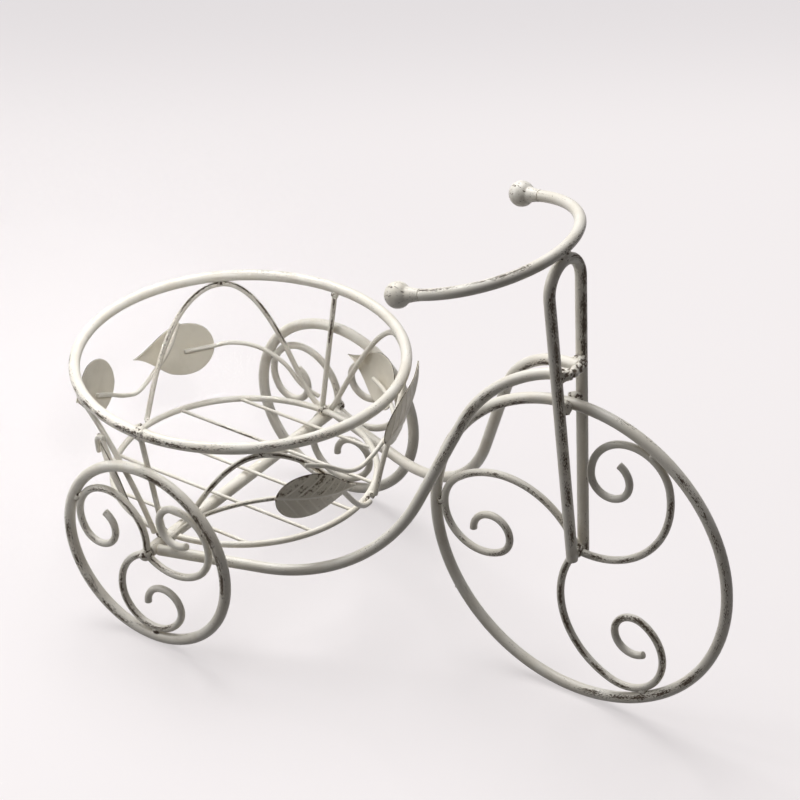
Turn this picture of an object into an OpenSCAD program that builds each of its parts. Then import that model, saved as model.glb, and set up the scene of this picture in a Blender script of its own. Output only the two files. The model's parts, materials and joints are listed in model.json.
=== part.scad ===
// Tricycle plant stand: a small wirework tricycle whose rear basket holds a plant pot.
// Bent steel rod and wire, welded throughout and enamelled cream.
// Millimetres. +X is the direction of travel, +Y the rider's left, +Z up.
// The origin is on the ground, midway between the foremost and the rearmost point.

/* [Stock] */
// Diameter of the rod of the rims, fork, handlebar and frame
rod_d = 6; // [5:0.5:7]
// Diameter of the rear axle
axle_d = 7; // [6.5:0.5:9]
// Diameter of the wire of the wheel scrolls
scroll_wire_d = 4; // [3:0.5:5]
// Diameter of the wire of the basket's floor ring
ring_wire_d = 3.5; // [3:0.5:5]
// Diameter of the wire of the basket's arches and stays
basket_wire_d = 3; // [2.5:0.5:3.5]
// Diameter of the wire of the leaf tendrils
tendril_wire_d = 2.5; // [2:0.25:3]
// Diameter of the wires that cross the basket's floor
floor_wire_d = 2; // [1.5:0.5:3]
// Gap at a joint that only its weld bead bridges
joint_gap = 0.2; // [0.1:0.05:0.3]

/* [Wheels] */
// Outer diameter of the front wheel
front_wheel_od = 174; // [165:1:180]
// Outer diameter of the rear wheels
rear_wheel_od = 107; // [100:1:114]
// Distance from the rear axle to the front hub
wheelbase = 206; // [200:1:225]
// How much narrower the track of the rear wheels is than the basket
track_inset = 9; // [4:0.5:9.5]

/* [Scrolls] */
// Radius of a front scroll where it leaves the hub, as a share of its reach
front_scroll_share = 0.571; // [0.56:0.001:0.58]
// Turn of a front scroll before its bend tightens
front_scroll_turn = 105; // [100:1:112]
// Radius of a rear scroll where it leaves the hub, as a share of its reach
rear_scroll_share = 0.574; // [0.53:0.001:0.6]
// Turn of a rear scroll before its bend tightens
rear_scroll_turn = 72; // [66:1:80]
// Turn of the middle bend of a front scroll, which touches the rim
front_bend_turn = 172; // [160:1:190]
// Turn of the middle bend of a rear scroll, which touches the rim
rear_bend_turn = 146; // [130:1:160]
// Radius of the curl that ends a scroll
curl_r = 10.8; // [9:0.2:12]
// Turn of the curl that ends a front scroll
front_curl_turn = 242; // [200:1:250]
// Turn of the curl that ends a rear scroll
rear_curl_turn = 213; // [180:1:225]

/* [Fork] */
// Height of the crown of the fork over the front hub, along the fork
fork_length = 161; // [150:1:175]
// Bend radius of the crown of the fork
fork_crown_r = 14; // [12:0.5:17]
// Backward lean of the fork
fork_rake = 4.3; // [2:0.1:7]
// Length of the fork legs below the front hub
fork_foot = 3; // [2:0.5:5]

/* [Handlebar] */
// Bend radius of the handlebar
handlebar_r = 53.5; // [46:0.5:60]
// Turn of the handlebar from neck to neck
handlebar_turn = 166; // [150:1:176]
// Rise of the handlebar towards its front
handlebar_tilt = 14.5; // [0:0.5:20]
// Roll of the handlebar towards its right end
handlebar_roll = 2.2; // [-4:0.2:4]
// Diameter of the balls on the ends of the handlebar
grip_ball_d = 13; // [11:0.5:16]
// Reach of a ball's neck, from the middle of the ball
grip_neck = 12; // [10:0.5:15]

/* [Frame] */
// How far below the top of the fork the frame rods meet it
frame_below_top = 58; // [52:1:62]
// Reach of the frame rods in front of the fork
frame_end = 3; // [2:0.5:5]
// Distance of the shoulder bend behind the front hub
shoulder_back = 43.5; // [40:0.5:50]
// Drop of the corner of the shoulder bend below the front ends of the frame rods
shoulder_drop = 7; // [0:0.5:10]
// Distance of the corner of the shoulder bend from the middle plane
shoulder_side = 12.6; // [11:0.2:15]
// Radius of the shoulder bend
shoulder_r = 63; // [50:1:65]
// Distance of the corner of the elbow bend in front of the rear axle
elbow_front = 111; // [108:1:118]
// Height of the corner of the elbow bend
elbow_height = 53; // [50:0.5:58]
// Distance of the corner of the elbow bend from the middle plane
elbow_side = 43; // [38:0.5:50]
// Radius of the elbow bend
elbow_r = 88; // [60:1:90]

/* [Basket] */
// Outer diameter of the basket's rim
basket_od = 178; // [170:1:186]
// Height from the middle of the floor ring to the middle of the rim
basket_depth = 69; // [60:1:80]
// How much narrower the floor ring is than the basket, to the middle of its wire
floor_taper = 38; // [30:1:46]
// Number of wires across the floor
floor_wires = 5; // [5]
// Distance between the wires across the floor
floor_pitch = 27; // [22:0.5:29]

/* [Leaves] */
// Length of a leaf
leaf_l = 46; // [36:1:50]
// Width of a leaf
leaf_w = 29; // [20:1:32]
// Thickness of a leaf
leaf_t = 1; // [0.6:0.1:1.4]
// Height of the ridge along the middle of a leaf
leaf_ridge = 2; // [0:0.2:3]

/* [Weld beads] */
// Radius of the beads on the heavy rod
rod_bead_r = 4.2; // [3.8:0.1:4.6]
// Radius of the beads between a scroll and its rim
scroll_bead_r = 3.2; // [2.8:0.1:3.6]
// Radius of the beads on the basket's wire
wire_bead_r = 2.4; // [2.2:0.1:2.8]
// Radius of the beads between the basket and the axle
axle_bead_r = 4; // [3.6:0.1:4.6]

/* [Hidden] */
$fn = 48;
// Facets of a whole ring in the preview
ring_fn = 240;
cream = [0.90, 0.88, 0.82];

// Radii of the stock
rod_r = rod_d / 2;
axle_r = axle_d / 2;
scroll_wire_r = scroll_wire_d / 2;
ring_wire_r = ring_wire_d / 2;
basket_wire_r = basket_wire_d / 2;
tendril_wire_r = tendril_wire_d / 2;
floor_wire_r = floor_wire_d / 2;

// Places of the axles; the X origin is the middle of the overall length
rear_track = basket_od - track_inset;
axle_x = (basket_od / 2 - wheelbase - front_wheel_od / 2) / 2;
front_hub = [axle_x + wheelbase, 0, front_wheel_od / 2];
rear_hub_z = rear_wheel_od / 2;
function rear_hub(side) = [axle_x, side * rear_track / 2, rear_hub_z];
axle_end_y = rear_track / 2 - scroll_wire_r - joint_gap;
front_rim_r = front_wheel_od / 2 - rod_r;
rear_rim_r = rear_wheel_od / 2 - rod_r;

// Directions in which the first scroll of a wheel touches its rim, then every 120 degrees
front_scroll_phase = 180;
rear_scroll_phase = 155;
// Distance from the hub at which a scroll starts, so that three wires clear each other
scroll_start = 0.7 * scroll_wire_d;

// Basket levels and radii; the floor ring lies on the axle
rim_r = basket_od / 2 - rod_r;
floor_r = (basket_od - floor_taper) / 2;
floor_z = rear_hub_z + axle_r + ring_wire_r + joint_gap;
rim_z = floor_z + basket_depth;
// An arch stands beside the floor ring and its peak hangs under the rim
arch_foot_r = floor_r + ring_wire_r + basket_wire_r + joint_gap;
arch_foot_z = floor_z;
arch_peak_r = rim_r;
arch_peak_z = rim_z - rod_r - basket_wire_r - joint_gap;
// Angles round the basket, from +X towards +Y, of the peak and the two feet of each arch,
// and how gently each leg runs out at its foot
arch_peaks = [54, 134, 240, 314];
arch_feet = [[14.5, 87.3], [92.7, 173.8], [179.2, 267.3], [272.7, 369.5]];
arch_falls = [[0.35, 1.2], [1.9, 1.2], [2, 0.85], [1.9, 2.2]];
arch_steps = 16;
tube_sides = 8;
// A tendril runs outside the arches, and a leaf outside its tendril
tendril_out = basket_wire_r + tendril_wire_r + joint_gap;
leaf_out = tendril_out + tendril_wire_r + leaf_t / 2 + joint_gap;
// Heights and sinks in these lists are in hundredths of the basket's depth
function level(h) = h * basket_depth / 100;
// Base of each leaf: angle round the basket, height over the floor ring, heading over the level,
// how far it lies further in, beside a wheel, and its twist about its length
leaf_places = [
    [183, 40.6, 18, 0, 0], [138, 37.7, 8, 0, 0], [50, 43.5, 4, 3.9, 0],
    [4, 63.8, 36, 0, 0], [318, 54.3, -10, 0, 0], [241.4, 67.5, -64.5, 9.3, 17]
];
// Route of each tendril from its arch to its leaf: angle round the basket, height over the floor ring
tendril_routes = [
    [[151, 65], [155, 49.5], [161, 36], [172, 23], [180, 26], [189, 36], [197, 45]],
    [[95, 4.5], [103, 10], [111, 26], [121, 37.5], [131, 42], [140, 40.5], [150, 40.5]],
    [[24.6, 64], [29, 52], [37, 43.5], [47, 42], [57, 43.5], [66, 43.5]],
    [[328, 79.5], [336, 72.5], [345, 59.5], [352, 55], [359, 59.5], [366, 66.5]],
    [[277, 3], [283, 17.5], [290, 32], [299, 43.5], [309, 50.5], [319, 52], [328, 49.5]],
    [[254, 81], [250.5, 78.5], [248, 72.5], [247, 65], [246.5, 59.5]]
];
// How far a tendril lies further in, where it runs between the legs of an arch
tendril_sinks = [0, 0, 3.9, 0, 0, 0];

// Fork, in its own plane: origin at the hub, +Z along the fork
fork_half_foot = scroll_wire_r + rod_r + joint_gap;
fork_rise = fork_length - fork_crown_r + fork_foot;
fork_reach = norm([fork_half_foot, fork_rise]);
leg_lean = asin(fork_crown_r / fork_reach) - asin(fork_half_foot / fork_reach);
leg_length = sqrt(pow(fork_reach, 2) - pow(fork_crown_r, 2));
function leg_side(h) = fork_half_foot + (h + fork_foot) * tan(leg_lean);
frame_joint = fork_length - frame_below_top;
function fork_point(p) = front_hub + [
    p[0] * cos(fork_rake) - p[2] * sin(fork_rake),
    p[1],
    p[0] * sin(fork_rake) + p[2] * cos(fork_rake)
];

// Handlebar: its front rests on the crown of the fork
bar_apex = fork_point([0, 0, fork_length + rod_d + joint_gap]);

// Frame rods: from inside the fork over the shoulder and the elbow to the rear axle.
// They part towards the shoulder, so their ends stand further off the legs of the fork.
frame_part = 0.9;
frame_side = leg_side(frame_joint) - rod_d - frame_part;
frame_top = fork_point([frame_end, 0, frame_joint])[2];
function frame_corners(side) = [
    fork_point([frame_end, side * frame_side, frame_joint]),
    [front_hub[0] - shoulder_back, side * shoulder_side, frame_top - shoulder_drop],
    [axle_x + elbow_front, side * elbow_side, elbow_height],
    [axle_x, side * (axle_end_y - rod_r), rear_hub_z]
];

// Vectors
function unit(v) = v / norm(v);
function mix(a, b, t) = a + (b - a) * t;
function polar(r, a) = [r * cos(a), r * sin(a)];
function along(a) = [cos(a), sin(a), 0];

// Where two lengths of one rod meet, both stop short of the seam and a short collar along v closes it
seam_gap = 0.1;
seam_over = 0.1;
seam_length = 0.8;
module seam(p, v, d) {
    translate(p)
        rotate([0, acos(v[2] / norm(v)), atan2(v[1], v[0])])
            cylinder(r = d / 2 + seam_over, h = seam_length, center = true);
}

// Weld bead, a ball whose poles lie across the object
module bead(r) {
    rotate([90, 0, 0])
        sphere(r = r);
}

// Straight rod between two points, with a gap at either end for a seam
module straight_rod(p, q, d, gap_p = 0, gap_q = 0) {
    v = q - p;
    translate(p + unit(v) * gap_p)
        rotate([0, acos(v[2] / norm(v)), atan2(v[1], v[0])])
            cylinder(d = d, h = norm(v) - gap_p - gap_q);
}

// Part of a ring of rod in the XY plane, from angle a over turn t, short of its ends by the seam gap
module ring_arc(r, d, a, t) {
    e = seam_gap / r * 180 / PI;
    rotate([0, 0, a + e])
        rotate_extrude(angle = t - 2 * e, $fn = ring_fn)
            translate([r, 0])
                circle(d = d, $fn = 48);
}

module full_ring(r, d) {
    rotate_extrude($fn = ring_fn)
        translate([r, 0])
            circle(d = d, $fn = 48);
}

// Upright placement of what lies in the XY plane: X stays, Y becomes Z
module upright(p) {
    translate(p)
        rotate([90, 0, 0])
            children();
}

// Tangent length and bend centre of a corner at p between the points before and after it
function corner_half(before, p, after) =
    acos(unit(before - p) * unit(after - p)) / 2;
function corner_tangent(before, p, after, r) = r / tan(corner_half(before, p, after));

// Rod bent round one corner
module corner_bend(before, p, after, r, d) {
    half = corner_half(before, p, after);
    a = unit(before - p);
    b = unit(after - p);
    centre = p + unit(a + b) * r / sin(half);
    e1 = unit(p + a * corner_tangent(before, p, after, r) - centre);
    e2 = -a;
    e3 = cross(e1, e2);
    multmatrix([
        [e1[0], e2[0], e3[0], centre[0]],
        [e1[1], e2[1], e3[1], centre[1]],
        [e1[2], e2[2], e3[2], centre[2]],
        [0, 0, 0, 1]
    ])
        ring_arc(r, d, 0, 180 - 2 * half);
}

// Rod through four points, bent round the middle two
module bent_rod(pts, r1, r2, d) {
    t1 = corner_tangent(pts[0], pts[1], pts[2], r1);
    t2 = corner_tangent(pts[1], pts[2], pts[3], r2);
    a1 = pts[1] + unit(pts[0] - pts[1]) * t1;
    b1 = pts[1] + unit(pts[2] - pts[1]) * t1;
    a2 = pts[2] + unit(pts[1] - pts[2]) * t2;
    b2 = pts[2] + unit(pts[3] - pts[2]) * t2;
    straight_rod(pts[0], a1, d, 0, seam_gap);
    corner_bend(pts[0], pts[1], pts[2], r1, d);
    straight_rod(b1, a2, d, seam_gap, seam_gap);
    corner_bend(pts[1], pts[2], pts[3], r2, d);
    straight_rod(b2, pts[3], d, seam_gap, 0);
    seam(a1, pts[1] - pts[0], d);
    seam(b1, pts[2] - pts[1], d);
    seam(a2, pts[2] - pts[1], d);
    seam(b2, pts[3] - pts[2], d);
}

// Wheel scroll in the XY plane round the hub: three bends of falling radius, turning left.
// Its middle bend reaches the distance reach from the hub in the direction phase.
function scroll_first_centre(start, r, h) = polar(start, h) + polar(r, h + 90);
function scroll_mid_r(c, r, h, turn, reach) =
    let (
        u = polar(1, h - 90 + turn),
        s = (pow(reach - r, 2) - c * c) / (2 * (c * u - (reach - r)))
    )
    r - s;
module scroll(start, r, turn, mid_turn, end_turn, reach, phase) {
    c1 = scroll_first_centre(start, r, 0);
    r2 = scroll_mid_r(c1, r, 0, turn, reach);
    c2 = c1 + polar(r - r2, turn - 90);
    c3 = c2 + polar(r2 - curl_r, turn + mid_turn - 90);
    far = atan2(c2[1], c2[0]);
    rotate([0, 0, phase - far]) {
        translate(c1)
            ring_arc(r, scroll_wire_d, -90, turn);
        translate(c2)
            ring_arc(r2, scroll_wire_d, turn - 90, mid_turn);
        translate(c3)
            ring_arc(curl_r, scroll_wire_d, turn + mid_turn - 90, end_turn);
        seam(c1 + polar(r, turn - 90), along(turn), scroll_wire_d);
        seam(c2 + polar(r2, turn + mid_turn - 90), along(turn + mid_turn), scroll_wire_d);
    }
}

front_reach = front_rim_r - rod_r - scroll_wire_r - joint_gap;
rear_reach = rear_rim_r - rod_r - scroll_wire_r - joint_gap;
front_scroll_r = front_scroll_share * front_reach;
rear_scroll_r = rear_scroll_share * rear_reach;

module front_scroll(i) {
    color(cream)
        upright(front_hub)
            scroll(scroll_start, front_scroll_r, front_scroll_turn, front_bend_turn,
                   front_curl_turn, front_reach, front_scroll_phase - 120 * i);
}

module rear_scroll(side, i) {
    color(cream)
        upright(rear_hub(side))
            scroll(scroll_start, rear_scroll_r, rear_scroll_turn, rear_bend_turn,
                   rear_curl_turn, rear_reach, rear_scroll_phase - 120 * i);
}

module front_wheel_rim() {
    color(cream)
        upright(front_hub)
            full_ring(front_rim_r, rod_d);
}

module rear_wheel_rim(side) {
    color(cream)
        upright(rear_hub(side))
            full_ring(rear_rim_r, rod_d);
}

module rear_axle() {
    color(cream)
        straight_rod([axle_x, -axle_end_y, rear_hub_z], [axle_x, axle_end_y, rear_hub_z], axle_d);
}

module frame_bend(side) {
    bent_rod(frame_corners(side), shoulder_r, elbow_r, rod_d);
}
module frame_front(side) {
    pts = frame_corners(side);
    straight_rod(pts[0], pts[1], rod_d + 1.5 * joint_gap, -1.5 * rod_bead_r, 0);
}
module frame_rod(side) {
    color(cream)
        difference() {
            frame_bend(side);
            rear_axle();
        }
}

// Fork: an upturned U with legs that close in on the hub
module fork() {
    color(cream)
        fork_place()
            fork_outline();
}
module fork_place() {
    translate(front_hub)
        rotate([0, -fork_rake, 0])
            rotate([90, 0, 90])
                children();
}

// Fork in its own plane, X across and Y along the fork
module fork_outline() {
    crown = [0, fork_length - fork_crown_r, 0];
    for (side = [-1, 1]) {
        fork_leg(side);
        seam(crown + fork_crown_r * [side * cos(leg_lean), -sin(leg_lean), 0],
             [side * sin(leg_lean), cos(leg_lean), 0], rod_d);
    }
    fork_crown();
}
module fork_leg(side) {
    translate([side * fork_half_foot, -fork_foot, 0])
        rotate([-90, 0, -side * leg_lean])
            cylinder(d = rod_d, h = leg_length - seam_gap);
}
module fork_crown() {
    translate([0, fork_length - fork_crown_r, 0])
        ring_arc(fork_crown_r, rod_d, -leg_lean, 180 + 2 * leg_lean);
}

// Handlebar: one bend in its own plane, which tilts and rolls about the top of the fork
module bar_place() {
    translate(bar_apex)
        rotate([0, -handlebar_tilt, 0])
            rotate([handlebar_roll, 0, 0])
                translate([-handlebar_r, 0, 0])
                    children();
}

module handlebar() {
    color(cream)
        bar_place()
            ring_arc(handlebar_r, rod_d, -handlebar_turn / 2, handlebar_turn);
}

// Ball with a cone neck, which butts against the end of the handlebar
module grip_ball(side) {
    a = side * handlebar_turn / 2;
    middle = polar(handlebar_r, a) + side * polar(grip_neck, a + 90);
    color(cream)
        bar_place()
            translate(middle)
                rotate([0, 90, a - side * 90]) {
                    sphere(d = grip_ball_d);
                    cylinder(d1 = grip_ball_d * 0.9, d2 = rod_d + 1, h = grip_neck - joint_gap);
                }
}

module basket_rim() {
    color(cream)
        translate([axle_x, 0, rim_z])
            full_ring(rim_r, rod_d);
}

module basket_floor_ring() {
    color(cream)
        translate([axle_x, 0, floor_z])
            full_ring(floor_r, ring_wire_d);
}

// Wire across the floor, along X, butted against the inside of the floor ring
module floor_wire(i) {
    y = (i - (floor_wires - 1) / 2) * floor_pitch;
    half = sqrt(pow(floor_r, 2) - pow(y, 2));
    color(cream)
        difference() {
            straight_rod([axle_x - half, y, floor_z], [axle_x + half, y, floor_z], floor_wire_d);
            basket_floor_ring();
        }
}

// Straight stay over each end of the axle, from the floor ring up to the inside of the rim,
// where it clears the wheel
stay_top = rim_r - rod_r / 2;
module stay_rod(side) {
    straight_rod([axle_x, side * floor_r, floor_z], [axle_x, side * stay_top, rim_z], basket_wire_d);
}
module stay(side) {
    color(cream)
        difference() {
            stay_rod(side);
            basket_floor_ring();
            basket_rim();
        }
}

// Point on the basket's wall at an angle, with a height over the floor ring
// and a distance outwards from the arches
wall_slope = (arch_peak_r - arch_foot_r) / (arch_peak_z - arch_foot_z);
function wall_point(angle, h, out) =
    let (r = arch_foot_r + h * wall_slope + out)
    [axle_x + r * cos(angle), r * sin(angle), floor_z + h];

// Tube swept along a path on the basket's wall
module wall_tube(path, wire_r) {
    n = len(path);
    rings = [
        for (k = [0 : n - 1])
            let (
                t = unit(path[min(k + 1, n - 1)] - path[max(k - 1, 0)]),
                radial = unit([path[k][0] - axle_x, path[k][1], 0]),
                side = unit(cross(t, radial)),
                up = cross(side, t)
            )
            for (s = [0 : tube_sides - 1])
                let (a = 360 * (s + 0.5) / tube_sides)
                path[k] + wire_r * (cos(a) * side + sin(a) * up)
    ];
    walls = [
        for (k = [0 : n - 2])
            for (s = [0 : tube_sides - 1])
                let (
                    a = k * tube_sides + s,
                    b = k * tube_sides + (s + 1) % tube_sides
                )
                each [[a, b, b + tube_sides], [a, b + tube_sides, a + tube_sides]]
    ];
    first = [for (s = [tube_sides - 1 : -1 : 0]) s];
    last = [for (s = [0 : tube_sides - 1]) (n - 1) * tube_sides + s];
    polyhedron(points = rings, faces = concat(walls, [first, last]), convexity = 6);
}

// Arch as one wave between two feet, level at its peak; t runs from the peak to a foot
function arch_height(t, fall) = (arch_peak_z - arch_foot_z) * pow(cos(90 * t), 2 * fall);
function arch_path(i) = [
    for (k = [-arch_steps : arch_steps])
        let (
            leg = k < 0 ? 0 : 1,
            t = abs(k) / arch_steps,
            angle = mix(arch_peaks[i], arch_feet[i][leg], sin(90 * t))
        )
        wall_point(angle, arch_height(t, arch_falls[i][leg]), 0)
];
module arch(i) {
    color(cream)
        wall_tube(arch_path(i), basket_wire_r);
}

// Smooth curve through the points of a tendril's route
tendril_steps = 3;
function smooth(p0, p1, p2, p3, t) =
    0.5 * (2 * p1 + (p2 - p0) * t + (2 * p0 - 5 * p1 + 4 * p2 - p3) * t * t
        + (3 * p1 - p0 - 3 * p2 + p3) * t * t * t);
function tendril_path(route, sink) =
    let (n = len(route))
    [
        for (k = [0 : (n - 1) * tendril_steps])
            let (
                i = min(floor(k / tendril_steps), n - 2),
                t = k / tendril_steps - i,
                p = smooth(route[max(i - 1, 0)], route[i], route[i + 1], route[min(i + 2, n - 1)], t)
            )
            wall_point(p[0], level(p[1]), tendril_out - level(sink))
    ];
module tendril(i) {
    color(cream)
        wall_tube(tendril_path(tendril_routes[i], tendril_sinks[i]), tendril_wire_r);
}

// Leaf: a pointed oval pressed from sheet, with a ridge along its middle, rolled to the wall
leaf_rows = 10;
leaf_columns = 4;
function leaf_half_width(s) = leaf_w / 2 * pow(max(sin(180 * pow(s, 0.62)), 0), 0.8);
function leaf_point(place, s, c, face) =
    let (
        along = leaf_l * s,
        across = leaf_half_width(s) * c,
        lift = leaf_ridge * (1 - abs(c)) * sin(180 * s) + face * leaf_t / 2,
        flat = across * cos(place[4]) - lift * sin(place[4]),
        out = across * sin(place[4]) + lift * cos(place[4]),
        sideways = along * cos(place[2]) - flat * sin(place[2]),
        rise = along * sin(place[2]) + flat * cos(place[2]),
        base = level(place[1]),
        turn = sideways / (arch_foot_r + base * wall_slope) * 180 / PI
    )
    wall_point(place[0] + turn, base + rise, leaf_out - level(place[3]) + out);
module leaf(i) {
    place = leaf_places[i];
    row_points = leaf_columns + 1;
    face_points = (leaf_rows - 1) * row_points;
    // The rows between the base point and the tip point, inner face first
    grid = [
        for (face = [-1, 1])
            for (k = [1 : leaf_rows - 1])
                for (j = [0 : leaf_columns])
                    leaf_point(place, k / leaf_rows, 2 * j / leaf_columns - 1, face)
    ];
    ends = [
        leaf_point(place, 0, 0, -1), leaf_point(place, 0, 0, 1),
        leaf_point(place, 1, 0, -1), leaf_point(place, 1, 0, 1)
    ];
    base_in = 2 * face_points;
    base_out = base_in + 1;
    tip_in = base_in + 2;
    tip_out = base_in + 3;
    last = (leaf_rows - 2) * row_points;
    inner = [
        for (k = [0 : leaf_rows - 3])
            for (j = [0 : leaf_columns - 1])
                let (a = k * row_points + j)
                each [[a, a + row_points, a + 1], [a + 1, a + row_points, a + row_points + 1]]
    ];
    outer = [for (f = inner) [f[0] + face_points, f[2] + face_points, f[1] + face_points]];
    base_fan = [
        for (j = [0 : leaf_columns - 1])
            each [[base_in, j, j + 1], [base_out, face_points + j + 1, face_points + j]]
    ];
    tip_fan = [
        for (j = [0 : leaf_columns - 1])
            each [
                [tip_in, last + j + 1, last + j],
                [tip_out, face_points + last + j, face_points + last + j + 1]
            ]
    ];
    // The edge strip, down one side and up the other
    right = concat([base_in], [for (k = [0 : leaf_rows - 2]) k * row_points], [tip_in]);
    left = concat([base_in], [for (k = [0 : leaf_rows - 2]) k * row_points + leaf_columns], [tip_in]);
    function outer_of(p) = p >= base_in ? p + 1 : p + face_points;
    edge = [
        for (k = [0 : leaf_rows - 1])
            each [
                [right[k], outer_of(right[k]), right[k + 1]],
                [right[k + 1], outer_of(right[k]), outer_of(right[k + 1])],
                [left[k], left[k + 1], outer_of(left[k])],
                [left[k + 1], outer_of(left[k + 1]), outer_of(left[k])]
            ]
    ];
    color(cream)
        polyhedron(points = concat(grid, ends), faces = concat(inner, outer, base_fan, tip_fan, edge),
                   convexity = 6);
}

// Beads that join the scrolls of a wheel to its rim and to each other at the hub
module wheel_beads(rim, phase, hub_bead) {
    for (i = [0 : 2]) {
        rotate([0, 0, phase - 120 * i])
            translate([rim - rod_r, 0, 0])
                rotate([0, 90, 0])
                    sphere(r = scroll_bead_r);
    }
    sphere(r = hub_bead);
}

module front_wheel_welds() {
    color(cream)
        difference() {
            upright(front_hub)
                wheel_beads(front_rim_r, front_scroll_phase, rod_bead_r);
            front_wheel_rim();
            for (i = [0 : 2]) {
                front_scroll(i);
            }
            fork();
        }
}

module rear_wheel_welds(side) {
    color(cream)
        difference() {
            upright(rear_hub(side))
                wheel_beads(rear_rim_r, rear_scroll_phase, rod_bead_r);
            rear_wheel_rim(side);
            for (i = [0 : 2]) {
                rear_scroll(side, i);
            }
            rear_axle();
        }
}

// Beads on the fork: at the rim, at the ends of the frame rods and under the handlebar
module fork_welds() {
    rim_top = front_rim_r / cos(fork_rake);
    color(cream) {
        for (side = [-1, 1]) {
            difference() {
                translate(fork_point([0, side * leg_side(rim_top) / 2, rim_top]))
                    bead(rod_bead_r);
                fork_place()
                    fork_leg(side);
                front_wheel_rim();
            }
            difference() {
                translate(fork_point([0, side * (frame_side + leg_side(frame_joint)) / 2, frame_joint]))
                    bead(rod_bead_r);
                fork_place()
                    fork_leg(side);
                frame_front(side);
            }
        }
        difference() {
            translate(fork_point([0, 0, fork_length + rod_r]))
                sphere(r = rod_bead_r);
            fork_place()
                fork_crown();
            handlebar();
        }
    }
}

// Beads under the basket's rim: at the peaks of the arches and the tops of the stays
module basket_rim_welds() {
    color(cream)
        difference() {
            union() {
                for (a = arch_peaks) {
                    translate([axle_x + rim_r * cos(a), rim_r * sin(a), rim_z - rod_r])
                        sphere(r = wire_bead_r);
                }
                for (side = [-1, 1]) {
                    translate([axle_x, side * (stay_top - rod_r * wall_slope), rim_z - rod_r])
                        sphere(r = wire_bead_r);
                }
            }
            basket_rim();
            stay_rod(-1);
            stay_rod(1);
            for (i = [0 : 3]) {
                arch(i);
            }
        }
}

// End of an arch's leg as a straight rod, a little thicker than its wire
module arch_end(i, leg) {
    path = arch_path(i);
    last = leg == 0 ? 0 : 2 * arch_steps;
    before = leg == 0 ? 3 : last - 3;
    straight_rod(path[last], path[before], basket_wire_d + 3 * joint_gap, -wire_bead_r, 0);
}

// Beads on the basket's floor ring: at the feet of the arches, and larger ones over the axle
// that also hold the stay and the feet beside it
module basket_floor_welds() {
    foot_r = floor_r + ring_wire_r;
    single_feet = [[0, 0], [1, 1], [2, 0], [3, 1]];
    color(cream) {
        for (f = single_feet) {
            difference() {
                translate(concat([axle_x, 0] + polar(foot_r, arch_feet[f[0]][f[1]]), [floor_z]))
                    bead(wire_bead_r);
                basket_floor_ring();
                arch_end(f[0], f[1]);
            }
        }
        for (side = [-1, 1]) {
            first = side > 0 ? 0 : 2;
            difference() {
                translate([axle_x, side * (floor_r + ring_wire_r / 2), floor_z - ring_wire_r / 2])
                    bead(axle_bead_r);
                basket_floor_ring();
                rear_axle();
                stay_rod(side);
                arch_end(first, 1);
                arch_end(first + 1, 0);
            }
        }
    }
}

front_wheel_rim();
front_scroll(0);  // front_scroll_rear
front_scroll(1);  // front_scroll_upper
front_scroll(2);  // front_scroll_lower
rear_wheel_rim(-1);  // right_wheel_rim
rear_scroll(-1, 0);  // right_scroll_rear
rear_scroll(-1, 1);  // right_scroll_upper
rear_scroll(-1, 2);  // right_scroll_lower
rear_wheel_rim(1);  // left_wheel_rim
rear_scroll(1, 0);  // left_scroll_rear
rear_scroll(1, 1);  // left_scroll_upper
rear_scroll(1, 2);  // left_scroll_lower
rear_axle();
mirror([0, 1, 0]) frame_rod(1);  // right_frame_rod
frame_rod(1);  // left_frame_rod
fork();
handlebar();
grip_ball(-1);  // right_grip_ball
grip_ball(1);  // left_grip_ball
basket_rim();
basket_floor_ring();
floor_wire(0);  // floor_wire_1
floor_wire(1);  // floor_wire_2
floor_wire(2);  // floor_wire_3
floor_wire(3);  // floor_wire_4
floor_wire(4);  // floor_wire_5
stay(-1);  // right_stay
stay(1);  // left_stay
arch(0);  // arch_front_left
arch(1);  // arch_rear_left
arch(2);  // arch_rear_right
arch(3);  // arch_front_right
tendril(0);  // tendril_1
tendril(1);  // tendril_2
tendril(2);  // tendril_3
tendril(3);  // tendril_4
tendril(4);  // tendril_5
tendril(5);  // tendril_6
leaf(0);  // leaf_1
leaf(1);  // leaf_2
leaf(2);  // leaf_3
leaf(3);  // leaf_4
leaf(4);  // leaf_5
leaf(5);  // leaf_6
front_wheel_welds();
rear_wheel_welds(-1);  // right_wheel_welds
rear_wheel_welds(1);  // left_wheel_welds
fork_welds();
basket_rim_welds();
basket_floor_welds();
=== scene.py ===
"""Tricycle plant stand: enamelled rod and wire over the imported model, in a plain pale studio.

Lengths are in millimetres until a mesh is made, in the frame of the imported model: X is the
direction of travel, Y the rider's left, Z up, and the ground is at zero.
"""
import json
import logging
import math
import random
from dataclasses import dataclass, field
from enum import Enum
from typing import Any, ClassVar, Iterable, Sequence

import bmesh
import bpy
from mathutils import Matrix, Vector, noise

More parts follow.
